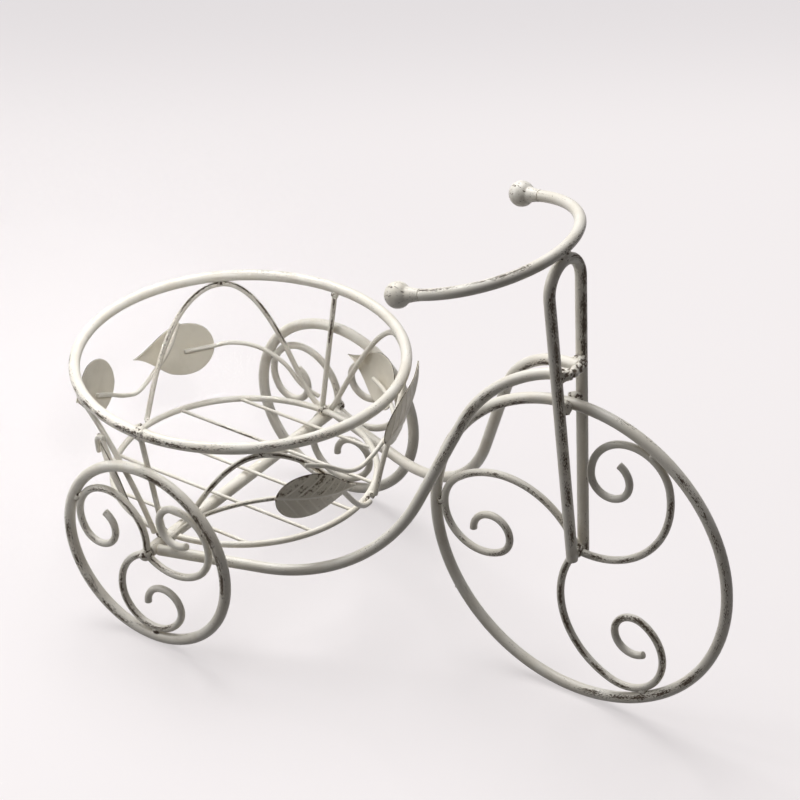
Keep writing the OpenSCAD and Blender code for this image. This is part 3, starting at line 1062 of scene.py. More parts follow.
@dataclass
class Wheel:
    """A wheel: its rim and three scrolls.

    Attributes:
        shop: The workshop.
        name: Word that its nodes start with.
        hub: Its hub.
        outer: Its outer radius.
        rule: How its scrolls are bent.
        seam: Angle round the rim at which the ring was closed.
        wear: How worn it is.
    """

    shop: Workshop
    name: str
    hub: Vector
    outer: float
    rule: ScrollRule
    seam: float = 215.0
    wear: float = 0.0

    SCROLLS: ClassVar[tuple[str, ...]] = ("rear", "upper", "lower")

    def build(self) -> None:
        """Makes the rim and the scrolls."""
        shop = self.shop
        rim = self.outer - shop.rod
        ring = upright(arc(Vector(), rim, self.seam, 360)[:-1], self.hub)
        name = f"{self.name}_wheel_rim"
        shop.rod_piece(name, ring, shop.rod, Slot.ROD, closed=True, wear=self.wear)
        reach = rim - shop.rod - shop.scroll - shop.gap
        for number, word in enumerate(self.SCROLLS):
            path = upright(self.rule.path(reach, 360 / len(self.SCROLLS) * number), self.hub)
            name = f"{self.name}_scroll_{word}"
            shop.rod_piece(name, path, shop.scroll, Slot.WIRE, wear=self.wear)

    def seam_point(self) -> Vector:
        """Point on the rim's centre line at which the ring was closed.

        Returns:
            The point.
        """
        return upright([polar(self.outer - self.shop.rod, self.seam)], self.hub)[0]


# Fork, handlebar and frame


@dataclass
class Fork:
    """The fork, an upturned U that closes in on the hub.

    Attributes:
        shop: The workshop.
        hub: The front hub.
        length: Height of its crown over the hub.
        crown: Radius of its crown.
        rake: Backward lean, in degrees.
        foot: Length of the legs below the hub.
    """

    shop: Workshop
    hub: Vector
    length: float = 161.0
    crown: float = 14.0
    rake: float = 4.3
    foot: float = 3.0

    @property
    def half_foot(self) -> float:
        """Half the distance between the legs at their feet."""
        return self.shop.scroll + self.shop.rod + self.shop.gap

    @property
    def lean(self) -> float:
        """Angle at which a leg leans outwards, in radians."""
        rise = self.length - self.crown + self.foot
        reach = math.hypot(self.half_foot, rise)
        return math.asin(self.crown / reach) - math.asin(self.half_foot / reach)

    def side_at(self, height: float) -> float:
        """Distance of a leg from the middle plane.

        Args:
            height: Height along the fork.

        Returns:
            The distance there.
        """
        return self.half_foot + (height + self.foot) * math.tan(self.lean)

    def place(self, point: Sequence[float]) -> Vector:
        """Moves a point from the fork's own frame, whose Z runs along it, to the stand's.

        Args:
            point: The point in the fork's own frame.

        Returns:
            The point in the stand's frame.
        """
        x, y, z = point
        c, s = math.cos(math.radians(self.rake)), math.sin(math.radians(self.rake))
        return self.hub + Vector((x * c - z * s, y, x * s + z * c))

    def build(self) -> None:
        """Makes the fork."""
        lean = math.degrees(self.lean)
        top = self.length - self.crown
        bend = arc(Vector((0.0, top, 0.0)), self.crown, -lean, 180 + 2 * lean, 0.9)
        right = Vector((self.half_foot, -self.foot, 0.0))
        left = Vector((-self.half_foot, -self.foot, 0.0))
        flat = line(right, bend[0])[:-1] + bend + line(bend[-1], left)[1:]
        path = [self.place((0.0, p.x, p.y)) for p in flat]
        self.shop.rod_piece("fork", path, self.shop.rod, Slot.ROD, wear=0.12)


@dataclass
class Handlebar:
    """The handlebar, one bend with a ball and a cone neck on each end.

    Attributes:
        shop: The workshop.
        fork: The fork that it rests on.
        radius: Radius of the bend.
        turn: Turn of the bend.
        tilt: Rise towards its front, in degrees.
        roll: Roll towards its right end, in degrees.
        ball: Radius of a ball.
        neck: Reach of a ball's neck.
        join: Radius at which the neck leaves the ball, as a share of the ball's.
        groove: Depth of the fine groove round a ball.
        groove_width: Half its width, in radians.
        taper: How much thicker than the rod the neck's cone is at the ball.
        facets: Facets round a ball.
        wear: How worn a ball is.
    """

    shop: Workshop
    fork: Fork
    radius: float = 53.5
    turn: float = 166.0
    tilt: float = 14.5
    roll: float = 2.2
    ball: float = 6.5
    neck: float = 12.0
    join: float = 0.62
    groove: float = 0.16
    groove_width: float = 0.045
    taper: float = 0.5
    facets: int = 40
    wear: float = 0.45

    def matrix(self) -> Matrix:
        """Placement of the bar's own plane.

        Returns:
            The placement, in millimetres.
        """
        apex = self.fork.place((0.0, 0.0, self.fork.length + 2 * self.shop.rod + self.shop.gap))
        return (
            Matrix.Translation(apex)
            @ Matrix.Rotation(math.radians(-self.tilt), 4, "Y")
            @ Matrix.Rotation(math.radians(self.roll), 4, "X")
            @ Matrix.Translation((-self.radius, 0.0, 0.0))
        )

    def build(self) -> None:
        """Makes the bar and its two balls."""
        place = self.matrix()
        path = [place @ p for p in arc(Vector(), self.radius, -self.turn / 2, self.turn)]
        self.shop.rod_piece("handlebar", path, self.shop.rod, Slot.ROD, wear=0.02)
        for side in Side:
            self._grip(side, place)

    def _profile(self, ball_steps: int = 28, neck_steps: int = 14) -> list[tuple[float, float]]:
        """Outline of a ball and its neck, from the ball's far pole.

        Args:
            ball_steps: Points on the ball.
            neck_steps: Points on the neck.

        Returns:
            Distance along the axis and radius of each point.
        """
        points = []
        for k in range(1, ball_steps + 1):
            angle = math.pi * k / ball_steps * (1 - math.asin(self.join) / math.pi)
            groove = self.groove * math.exp(-(((angle - math.pi / 2) / self.groove_width) ** 2))
            size = self.ball - groove
            points.append((-size * math.cos(angle), size * math.sin(angle)))
        start, size = points[-1]
        rod = self.shop.rod
        end = self.neck - self.shop.gap
        for k in range(1, neck_steps + 1):
            t = k / neck_steps
            fillet = (1 - t) ** 2.2
            radius = rod + self.taper * (1 - t) + (size - rod - self.taper) * fillet
            points.append((start + (end - start) * t, radius))
        points.append((end + 0.1, rod - 0.4))
        return points

    def _grip(self, side: Side, place: Matrix) -> None:
        """Turns one ball on its axis.

        Args:
            side: Which end of the bar.
            place: Placement of the bar's plane.
        """
        angle = side.value * self.turn / 2
        middle = polar(self.radius, angle) + side.value * polar(self.neck, angle + 90)
        aim = -side.value * polar(1.0, angle + 90)
        across = Vector((0.0, 0.0, 1.0))
        third = aim.cross(across)
        count = self.facets
        bm = bmesh.new()
        wear = bm.verts.layers.float.new("wear")
        along = bm.verts.layers.float.new("along")
        wrap = bm.verts.layers.float_vector.new("wrap")
        rings = []
        for x, r in self._profile():
            ring = []
            for k in range(count):
                c, s = math.cos(math.tau * k / count), math.sin(math.tau * k / count)
                vert = bm.verts.new(middle + aim * x + (across * c + third * s) * r)
                vert[wrap] = (c, s, 0.0)
                vert[along] = x
                ring.append(vert)
            rings.append(ring)
        poles = [bm.verts.new(middle + aim * x) for x in (-self.ball, self.neck - 0.1)]
        for low, high in zip(rings, rings[1:]):
            for k in range(count):
                bm.faces.new((low[k - 1], low[k], high[k], high[k - 1]))
        for k in range(count):
            bm.faces.new((poles[0], rings[0][k], rings[0][k - 1]))
            bm.faces.new((poles[1], rings[-1][k - 1], rings[-1][k]))
        for vert in bm.verts:
            vert.co = place @ vert.co
            vert[wear] = self.wear
            vert.co *= MM
        bmesh.ops.recalc_face_normals(bm, faces=bm.faces)
        name = f"{side.word}_grip_ball"
        piece = smooth_piece(name, bm, self.shop.finishes[Slot.ROD], SHARP_PIECE)
        hand_over(piece, Slot.ROD, name)


def smooth_piece(
    name: str, bm: bmesh.types.BMesh, material: bpy.types.Material, sharp: float
) -> bpy.types.Object:
    """Makes a smooth object of a mesh in the making.

    Args:
        name: The object's name.
        bm: The mesh; it is freed.
        material: Its material.
        sharp: Angle over which an edge is sharp, in degrees.

    Returns:
        The object.
    """
    mesh = bpy.data.meshes.new(name)
    bm.to_mesh(mesh)
    bm.free()
    mesh.polygons.foreach_set("use_smooth", [True] * len(mesh.polygons))
    mesh.set_sharp_from_angle(angle=math.radians(sharp))
    mesh.materials.append(material)
    return show(name, mesh)


@dataclass
class Frame:
    """The two frame rods, from inside the fork over the shoulder and the elbow to the axle.

    Attributes:
        shop: The workshop.
        fork: The fork.
        axle_x: X of the rear axle.
        axle_end: Half the length of the axle.
        axle_height: Height of the axle.
        below_top: How far below the top of the fork the rods meet it.
        reach: How far they reach in front of it.
        part: How much further than a rod they stand off its legs.
        shoulder: Set-back, side and drop of the shoulder's corner.
        shoulder_bend: Radius of the shoulder.
        elbow: Distance in front of the axle, side and height of the elbow's corner.
        elbow_bend: Radius of the elbow.
        bite: How far below the axle's surface the rods' rear ends lie.
    """

    shop: Workshop
    fork: Fork
    axle_x: float
    axle_end: float
    axle_height: float
    below_top: float = 58.0
    reach: float = 3.0
    part: float = 0.9
    shoulder: tuple[float, float, float] = (43.5, 12.6, 7.0)
    shoulder_bend: float = 63.0
    elbow: tuple[float, float, float] = (111.0, 43.0, 53.0)
    elbow_bend: float = 88.0
    bite: float = 0.5

    def front_end(self, side: Side) -> Vector:
        """Front end of a rod's centre line.

        Args:
            side: Which rod.

        Returns:
            Its front end.
        """
        height = self.fork.length - self.below_top
        across = self.fork.side_at(height) - 2 * self.shop.rod - self.part
        return self.fork.place((self.reach, side.value * across, height))

    def build(self) -> None:
        """Makes both rods and the axle."""
        for side in Side:
            sign = side.value
            first = self.front_end(side)
            back, wide, drop = self.shoulder
            shoulder = Vector((self.fork.hub.x - back, sign * wide, first.z - drop))
            ahead, wide, height = self.elbow
            elbow = Vector((self.axle_x + ahead, sign * wide, height))
            last = Vector((self.axle_x, sign * (self.axle_end - self.shop.rod), self.axle_height))
            last += (elbow - last).normalized() * (self.shop.axle - self.bite)
            path = [first] + corner(first, shoulder, elbow, self.shoulder_bend)
            bend = corner(shoulder, elbow, last, self.elbow_bend)
            path = line(path[0], path[1])[:-1] + path[1:] + line(path[-1], bend[0])[1:-1] + bend
            path += line(bend[-1], last)[1:]
            self.shop.rod_piece(f"{side.word}_frame_rod", path, self.shop.rod, Slot.ROD, wear=0.05)
        ends = [Vector((self.axle_x, y, self.axle_height)) for y in (-self.axle_end, self.axle_end)]
        self.shop.rod_piece("rear_axle", line(*ends), self.shop.axle, Slot.ROD, wear=0.05)


# Basket


@dataclass(frozen=True)
class Wave:
    """One arch of the wall.

    Attributes:
        name: Word that its node ends with.
        peak: Angle round the basket of its peak.
        feet: Angles of its two feet.
        falls: How gently each leg runs out.
    """

    name: str
    peak: float
    feet: tuple[float, float]
    falls: tuple[float, float]


@dataclass
class Basket:
    """The basket: rim, floor ring, floor wires, stays and four arches.

    Attributes:
        shop: The workshop.
        x: X of its middle.
        rim: Radius of the rim's centre line.
        rim_z: Height of the rim.
        floor_r: Radius of the floor ring.
        floor_z: Height of the floor ring.
        pitch: Distance between the floor wires.
        waves: The arches.
        rim_seam: Angle at which the rim was closed.
        floor_seam: Angle at which the floor ring was closed.
        floor_wires: Number of the floor wires.
    """

    shop: Workshop
    x: float
    rim: float = 86.0
    rim_z: float = 127.95
    floor_r: float = 70.0
    floor_z: float = 58.95
    pitch: float = 27.0
    waves: tuple[Wave, ...] = (
        Wave("front_left", 54, (14.5, 87.3), (0.35, 1.2)),
        Wave("rear_left", 134, (92.7, 173.8), (1.9, 1.2)),
        Wave("rear_right", 240, (179.2, 267.3), (2.0, 0.85)),
        Wave("front_right", 314, (272.7, 369.5), (1.9, 2.2)),
    )
    rim_seam: float = 271.0
    floor_seam: float = 200.0
    floor_wires: int = 5

    @property
    def foot_r(self) -> float:
        """Distance of an arch's foot from the basket's axis."""
        return self.floor_r + self.shop.ring + self.shop.wire + self.shop.gap

    @property
    def wall_height(self) -> float:
        """Height of the arches' peaks over the floor ring."""
        return self.rim_z - self.shop.rod - self.shop.wire - self.shop.gap - self.floor_z

    def wall(self, angle: float, height: float, out: float = 0.0) -> Vector:
        """Point on the wall.

        Args:
            angle: Angle round the basket.
            height: Height over the floor ring.
            out: Distance outwards from the arches.

        Returns:
            The point.
        """
        slope = (self.rim - self.foot_r) / self.wall_height
        flat = polar(self.foot_r + height * slope + out, angle)
        return Vector((self.x + flat.x, flat.y, self.floor_z + height))

    def ring(self, radius: float, height: float, seam: float) -> list[Vector]:
        """Centre line of a level ring.

        Args:
            radius: Its radius.
            height: Its height.
            seam: Angle of its first point.

        Returns:
            Its points.
        """
        return [p + Vector((self.x, 0.0, height)) for p in arc(Vector(), radius, seam, 360)[:-1]]

    def build(self) -> None:
        """Makes the basket's wires."""
        shop = self.shop
        rim = self.ring(self.rim, self.rim_z, self.rim_seam)
        shop.rod_piece("basket_rim", rim, shop.rod, Slot.ROD, closed=True, wear=0.06)
        floor = self.ring(self.floor_r, self.floor_z, self.floor_seam)
        shop.rod_piece("basket_floor_ring", floor, shop.ring, Slot.WIRE, closed=True)
        # The ends of the floor wires and stays lie just inside the wire or rod that they meet
        for number in range(self.floor_wires):
            y = (number - self.floor_wires // 2) * self.pitch
            half = math.sqrt(self.floor_r**2 - y * y) - self.shop.ring * 0.9
            path = line(*(Vector((self.x + s * half, y, self.floor_z)) for s in (-1, 1)))
            shop.rod_piece(f"floor_wire_{number + 1}", path, shop.floor, Slot.WIRE, wear=-0.05)
        for side in Side:
            foot = Vector((self.x, side.value * self.floor_r, self.floor_z))
            top = Vector((self.x, side.value * (self.rim - shop.rod / 2), self.rim_z))
            way = (top - foot).normalized()
            ends = (foot + way * 1.2, top - way * 2.2)
            shop.rod_piece(f"{side.word}_stay", line(*ends), shop.wire, Slot.WIRE, wear=0.1)
        for wave in self.waves:
            shop.rod_piece(f"arch_{wave.name}", self.arch(wave), shop.wire, Slot.WIRE, wear=0.04)

    def arch(self, wave: Wave, steps: int = 90) -> list[Vector]:
        """Centre line of an arch, from foot to foot over its peak.

        Args:
            wave: The arch.
            steps: Points on each leg.

        Returns:
            Its points.
        """
        path = []
        for k in range(-steps, steps + 1):
            leg = 0 if k < 0 else 1
            t = abs(k) / steps
            blend = math.sin(math.pi / 2 * t)
            angle = wave.peak + (wave.feet[leg] - wave.peak) * blend
            height = self.wall_height * math.cos(math.pi / 2 * t) ** (2 * wave.falls[leg])
            path.append(self.wall(angle, height))
        return path


# Leaves


@dataclass(frozen=True)
class LeafPlace:
    """Place of a leaf on the wall.

    Attributes:
        angle: Angle round the basket of its base.
        height: Height of its base over the floor ring.
        heading: Heading of its tip over the level, in degrees.
        sink: How far it lies further in.
        twist: Twist about its length, in degrees.
        outer_wear_and_shade: How dark its outer face is, partly from real wear and partly as
            painted shade.
    """

    angle: float
    height: float
    heading: float
    sink: float = 0.0
    twist: float = 0.0
    outer_wear_and_shade: float = 0.25


@dataclass(frozen=True)
class Tendril:
    """Route of a tendril along the wall.

    Attributes:
        route: Angle round the basket and height over the floor ring of each point.
        sink: How far it lies further in.
    """

    route: tuple[tuple[float, float], ...]
    sink: float = 0.0


@dataclass
class Leaves:
    """The six pressed leaves and their tendrils.

    Attributes:
        shop: The workshop.
        basket: The basket that they run round.
        length: Length of a leaf.
        width: Width of a leaf.
        sheet: Thickness of the sheet.
        ridge: Height of the ridge along its middle.
        skew: Power that moves the widest place towards the base.
        fullness: Power that fills out the outline.
        tip_loss: Share of the width that the drawn-out tip loses.
        tip_power: Power by which it is lost towards the end.
        edge_start: Place across at which the edge starts to round off.
        edge_width: Width over which it does.
        vein_lift: Height of a raised vein.
        vein_middle: Half the width of the vein along the middle.
        vein_side: Half the width of a side vein.
        vein_pitch: Distance along the leaf between two side veins.
        vein_slant: How much the side veins slant towards the tip.
        vein_start: Share of the length at which the side veins start.
        vein_end: Share at which they end.
        vein_share: Height of a side vein, as a share of the middle one.
        vein_shine: Strength of the painted highlight on a vein, as wear below nothing.
        edge_wear: How much more worn the edge is.
        lower_ease: How much less worn the lower half of the outer face is.
        places: Place of each leaf.
        tendrils: Route of each tendril.
        rows: Rows of the mesh along a leaf.
        columns: Columns of the mesh across it.
    """

    shop: Workshop
    basket: Basket
    length: float = 46.0
    width: float = 29.0
    sheet: float = 0.9
    ridge: float = 2.0
    skew: float = 0.62
    fullness: float = 0.8
    tip_loss: float = 0.82
    tip_power: float = 1.45
    edge_start: float = 0.93
    edge_width: float = 0.07
    vein_lift: float = 0.5
    vein_middle: float = 0.7
    vein_side: float = 0.5
    vein_pitch: float = 6.2
    vein_slant: float = 0.85
    vein_start: float = 0.08
    vein_end: float = 0.93
    vein_share: float = 0.8
    # Strength of the painted highlight on the veins
    vein_shine: float = 1.4
    edge_wear: float = 0.8
    lower_ease: float = 0.12
    places: tuple[LeafPlace, ...] = (
        LeafPlace(183, 28.0, 18),
        LeafPlace(138, 26.0, 8),
        LeafPlace(50, 30.0, 4, sink=2.7),
        LeafPlace(4, 44.0, 36),
        # Leaf 5 faces away from the lamps: its darker outer face is partly real wear and partly
        # painted shade.
        LeafPlace(318, 37.5, -10, outer_wear_and_shade=0.56),
        LeafPlace(241.4, 46.6, -64.5, sink=6.4, twist=17),
    )
    tendrils: tuple[Tendril, ...] = (
        Tendril(((151, 45), (155, 34), (161, 25), (172, 16), (180, 18), (189, 25), (197, 31))),
        Tendril(((95, 3), (103, 7), (111, 18), (121, 26), (131, 29), (140, 28), (150, 28))),
        Tendril(((24.6, 44), (29, 36), (37, 30), (47, 29), (57, 30), (66, 30)), sink=2.7),
        Tendril(((328, 55), (336, 50), (345, 41), (352, 38), (359, 41), (366, 46))),
        Tendril(((277, 2), (283, 12), (290, 22), (299, 30), (309, 35), (319, 36), (328, 34))),
        Tendril(((254, 56), (250.5, 54), (248, 50), (247, 45), (246.5, 41))),
    )
    rows: int = 150
    columns: int = 64

    @property
    def tendril_out(self) -> float:
        """Distance of a tendril outwards from the arches."""
        return self.shop.wire + self.shop.tendril + self.shop.gap

    @property
    def leaf_out(self) -> float:
        """Distance of a leaf's middle outwards from the arches."""
        return self.tendril_out + self.shop.tendril + 0.5 + self.shop.gap

    def half_width(self, s: float) -> float:
        """Half the width of a leaf, which has a drawn-out tip.

        Args:
            s: Share of its length.

        Returns:
            Half the width there.
        """
        round_part = max(math.sin(math.pi * s**self.skew), 0.0) ** self.fullness
        tip = max(0.0, 2 * s - 1)
        return self.width / 2 * round_part * (1 - self.tip_loss * tip**self.tip_power)

    def vein(self, s: float, c: float) -> float:
        """Height of the raised veins at a point of a leaf, as a share of a full one.

        Args:
            s: Share of its length.
            c: Place across it, from -1 to 1.

        Returns:
            0 between the veins and 1 in the middle of one.
        """
        across = self.half_width(s) * abs(c)
        middle = math.exp(-((across / self.vein_middle) ** 2)) * min(1.0, (1 - s) * 6)
        slant = s * self.length - across * self.vein_slant
        phase = (slant / self.vein_pitch) % 1.0 - 0.5
        side = math.exp(-((phase * self.vein_pitch / self.vein_side) ** 2))
        side *= min(1.0, across / 1.2) * max(0.0, 1 - abs(c) ** 6)
        side *= self.vein_start < s < self.vein_end
        return max(middle, self.vein_share * side)

    def leaf_point(self, place: LeafPlace, s: float, c: float, face: float) -> Vector:
        """A point of a leaf.

        Args:
            place: Where the leaf is.
            s: Share of its length.
            c: Place across it, from -1 to 1.
            face: -1 on its inner face and 1 on its outer.

        Returns:
            The point.
        """
        past = max(0.0, (abs(c) - self.edge_start) / self.edge_width)
        edge = math.sqrt(max(0.0, 1 - past**2))
        across = self.half_width(s) * c
        lift = self.ridge * (1 - abs(c) ** 1.4) * math.sin(math.pi * s)
        lift += face * self.sheet / 2 * edge
        lift += self.vein_lift * self.vein(s, c) * edge * (face > 0)
        twist, heading = math.radians(place.twist), math.radians(place.heading)
        flat = across * math.cos(twist) - lift * math.sin(twist)
        out = across * math.sin(twist) + lift * math.cos(twist)
        along = self.length * s
        sideways = along * math.cos(heading) - flat * math.sin(heading)
        rise = along * math.sin(heading) + flat * math.cos(heading)
        base = self.basket.wall(0.0, place.height).x - self.basket.x
        angle = place.angle + math.degrees(sideways / base)
        return self.basket.wall(angle, place.height + rise, self.leaf_out - place.sink + out)

    def build(self) -> None:
        """Makes the leaves and the tendrils."""
        for number, place in enumerate(self.places, 1):
            self._leaf(f"leaf_{number}", place)
        for number, tendril in enumerate(self.tendrils, 1):
            path = self._curve(tendril)
            self.shop.rod_piece(f"tendril_{number}", path, self.shop.tendril, Slot.WIRE, wear=0.05)

    @staticmethod
    def _edge(s: float, c: float) -> float:
        """How near the edge of a leaf a point lies.

        Args:
            s: Share of the leaf's length.
            c: Place across it, from -1 to 1.

        Returns:
            0 on its face, rising to 1 on its edge.
        """
        end = min(s, 1 - s)
        rim = max(abs(c), 1 - 2 * end if end < 0.02 else 0.0)
        return max(0.0, (rim - 0.94) / 0.06)

    def _curve(self, tendril: Tendril, steps: int = 12) -> list[Vector]:
        """Smooth centre line of a tendril.

        Args:
            tendril: Its route.
            steps: Points between two points of the route.

        Returns:
            Its points.
        """
        route = [Vector((a, h, 0.0)) for a, h in tendril.route]
        last = len(route) - 1
        path = []
        for k in range(last * steps + 1):
            i = min(k // steps, last - 1)
            t = k / steps - i
            p0, p1 = route[max(i - 1, 0)], route[i]
            p2, p3 = route[i + 1], route[min(i + 2, last)]
            square = 2 * p0 - 5 * p1 + 4 * p2 - p3
            cube = 3 * p1 - p0 - 3 * p2 + p3
            p = 0.5 * (2 * p1 + (p2 - p0) * t + square * t * t + cube * t**3)
            path.append(self.basket.wall(p.x, p.y, self.tendril_out - tendril.sink))
        return path

    def _leaf(self, name: str, place: LeafPlace) -> None:
        """Makes one leaf as a closed sheet with a rounded edge.

        Args:
            name: Its name.
            place: Where it is.
        """
        bm = bmesh.new()
        wear = bm.verts.layers.float.new("wear")
        shares = [0.5 - 0.5 * math.cos(math.pi * k / self.rows) for k in range(self.rows + 1)]
        turns = [math.pi / 2 * (2 * j / self.columns - 1) for j in range(self.columns + 1)]
        steps = [math.sin(turn) for turn in turns]
        for face in (-1, 1):
            # The outer face's darkening is partly real wear and partly painted shade
            base = place.outer_wear_and_shade if face > 0 else 0.0
            grid = []
            for s in shares:
                row = []
                for c in steps:
                    vert = bm.verts.new(self.leaf_point(place, s, c, face))
                    # Painted highlight on the raised veins, stored as wear below nothing, with the
                    # lower half's ease added
                    pale = self.vein_shine * self.vein(s, c) + self.lower_ease * (c < 0)
                    vert[wear] = base + self.edge_wear * self._edge(s, c) ** 3 - pale * (face > 0)
                    row.append(vert)
                grid.append(row)
            for low, high in zip(grid, grid[1:]):
                for j in range(self.columns):
                    quad = (low[j], low[j + 1], high[j + 1], high[j])
                    bm.faces.new(quad if face > 0 else quad[::-1])
        bmesh.ops.remove_doubles(bm, verts=bm.verts, dist=0.004)
        bmesh.ops.dissolve_degenerate(bm, edges=bm.edges, dist=0.001)
        for vert in bm.verts:
            vert.co *= MM
        bmesh.ops.recalc_face_normals(bm, faces=bm.faces)
        piece = smooth_piece(name, bm, self.shop.finishes[Slot.LEAF], SHARP_PIECE)
        hand_over(piece, Slot.LEAF, name)


# Welds


@dataclass(frozen=True)
class Lump:
    """One lump of weld.

    Attributes:
        at: Its middle, in millimetres.
        radius: Its radius.
        crust: How lumpy it is, from 0 to 1.
    """

    at: Vector
    radius: float
    crust: float = 0.4


@dataclass
class Welds:
    """Lumpy beads of weld at every joint.

    Attributes:
        shop: The workshop.
        voxel: Size of the cells that join the lumps, in millimetres.
        seed: Seed of the lumps.
        swell_scale: Scale of the noise that roughens a bead.
        swell: How far it moves the surface.
        ground: Least height of a bead, just over the ground.
        widest: Half the stand's width, which no bead passes.
    """

    shop: Workshop
    voxel: float = 0.38
    seed: int = 11
    swell_scale: float = 0.55
    swell: float = 0.22
    ground: float = 0.02
    widest: float = 88.9

    # Size of a lump's middle ball, then the ranges of the distance, size and squash of the others
    CORE: ClassVar[float] = 0.86
    REACH: ClassVar[tuple[float, float]] = (0.35, 0.75)
    SIZES: ClassVar[tuple[float, float]] = (0.28, 0.5)
    SQUASH: ClassVar[tuple[float, float]] = (0.85, 1.12)
    # Dimension, step between octaves and number of octaves of the noise that roughens a bead
    FRACTAL: ClassVar[tuple[float, float, int]] = (0.7, 2.1, 3)
    NODES: ClassVar[tuple[str, ...]] = (
        "front_wheel_welds",
        "right_wheel_welds",
        "left_wheel_welds",
        "fork_welds",
        "basket_rim_welds",
        "basket_floor_welds",
    )

    def build(self, frame: dict[str, Any], extra: dict[str, list[Lump]]) -> None:
        """Makes the welds of every weld node, and those that only the scene has.

        Args:
            frame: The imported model.
            extra: Further lumps, by the name of their node or piece.
        """
        for name in self.NODES:
            lumps = self.islands(frame["nodes"][name]) + extra.get(name, [])
            self._piece(name, lumps, name)
        for name, lumps in extra.items():
            if name not in self.NODES:
                self._piece(name, lumps)

    @staticmethod
    def islands(node: bpy.types.Object) -> list[Lump]:
        """Middle and size of each separate bead of a node.

        Args:
            node: The node's object.

        Returns:
            One lump for each bead.
        """
        bm = bmesh.new()
        bm.from_mesh(node.data)
        bmesh.ops.remove_doubles(bm, verts=bm.verts, dist=0.00001)
        left = set(bm.verts)
        lumps = []
        while left:
            todo = [left.pop()]
            group = []
            while todo:
                vert = todo.pop()
                group.append(vert.co / MM)
                for edge in vert.link_edges:
                    other = edge.other_vert(vert)
                    if other in left:
                        left.remove(other)
                        todo.append(other)
            low = Vector([min(p[k] for p in group) for k in range(3)])
            high = Vector([max(p[k] for p in group) for k in range(3)])
            lumps.append(Lump((low + high) / 2, sorted(high - low)[1] / 2))
        bm.free()
        return sorted(lumps, key=lambda lump: tuple(round(v, 2) for v in lump.at))

    def _piece(self, name: str, lumps: Sequence[Lump], *nodes: str) -> None:
        """Joins lumps to one lumpy piece.

        Args:
            name: Its name.
            lumps: Its lumps.
            nodes: Nodes that it replaces.
        """
        chance = random.Random(f"{self.seed} {name}")
        bm = bmesh.new()
        for lump in lumps:
            self._balls(bm, lump, chance)
        for vert in bm.verts:
            vert.co *= MM
        finish = self.shop.finishes[Slot.WELD]
        rough = smooth_piece(f"{name}_rough", bm, finish, sharp=180)
        remesh = rough.modifiers.new("join", "REMESH")
        remesh.mode = "VOXEL"
        remesh.voxel_size = self.voxel * MM
        smooth = rough.modifiers.new("melt", "SMOOTH")
        smooth.factor = 0.5
        smooth.iterations = 3
        mesh = plain_mesh(rough)
        bpy.data.objects.remove(rough)
        self._pit(mesh)
        mesh.name = name
        mesh.polygons.foreach_set("use_smooth", [True] * len(mesh.polygons))
        mesh.materials.clear()
        mesh.materials.append(finish)
        hand_over(show(name, mesh), Slot.WELD, *nodes)

    def _balls(self, bm: bmesh.types.BMesh, lump: Lump, chance: random.Random) -> None:
        """Adds the overlapping balls of one lump.

        Args:
            bm: Mesh that takes them.
            lump: The lump.
            chance: Random numbers.
        """
        balls = [(Vector(), self.CORE)]
        for _ in range(3 + round(6 * lump.crust)):
            way = Vector([chance.uniform(-1, 1) for _ in range(3)]).normalized()
            balls.append((way * chance.uniform(*self.REACH), chance.uniform(*self.SIZES)))
        for offset, size in balls:
            squash = Matrix.Diagonal([chance.uniform(*self.SQUASH) for _ in range(3)])
            place = Matrix.Translation(lump.at + offset * lump.radius) @ squash.to_4x4()
            bmesh.ops.create_icosphere(bm, subdivisions=3, radius=size * lump.radius, matrix=place)

    def _pit(self, mesh: bpy.types.Mesh) -> None:
        """Roughens the surface and stores how deep each point lies, as its wear.

        Args:
            mesh: The joined lumps.
        """
        wear = []
        moved = []
        for vert in mesh.vertices:
            swell = noise.fractal(vert.co / MM * self.swell_scale, *self.FRACTAL)
            moved.append(vert.co + vert.normal * swell * self.swell * MM)
            wear.append(max(0.0, min(1.0, 0.3 - 0.7 * swell)))
        wide, ground = self.widest * MM, self.ground * MM
        for vert, place in zip(mesh.vertices, moved):
            vert.co = Vector((place.x, max(-wide, min(wide, place.y)), max(place.z, ground)))
        mesh.attributes.new("wear", "FLOAT", "POINT").data.foreach_set("value", wear)


# Studio


@dataclass(frozen=True)
class Camera:
    """The camera, at the photograph's angle.

    Attributes:
        azimuth: Turn about the vertical, in radians.
        elevation: Height over the level, in radians.
        roll: Roll about its axis, in radians.
        distance: Distance from its target, in millimetres.
        lens: Focal length, in millimetres, for a sensor of 36.
        target: What it looks at.
    """

    azimuth: float = 0.6046571
    elevation: float = 0.5638210
    roll: float = -0.0074418
    distance: float = 1551.352
    lens: float = 139.30
    target: tuple[float, float, float] = (-1.874, 0.0, 137.405)

    def build(self) -> None:
        """Makes the camera and gives it to the scene."""
        a, e = self.azimuth, self.elevation
        back = Vector((math.sin(a) * math.cos(e), -math.cos(a) * math.cos(e), math.sin(e)))
        right = Vector((math.cos(a), math.sin(a), 0.0))
        up = back.cross(right)
        c, s = math.cos(self.roll), math.sin(self.roll)
        axes = (right * c + up * s, up * c - right * s, back)
        data = bpy.data.cameras.new("camera")
        data.sensor_width = 36.0
        data.lens = self.lens
        data.clip_end = 50.0
        camera = bpy.data.objects.new("camera", data)
        place = (Vector(self.target) + back * self.distance) * MM
        camera.matrix_world = Matrix.Translation(place) @ Matrix(axes).transposed().to_4x4()
        bpy.context.scene.collection.objects.link(camera)
        bpy.context.scene.camera = camera


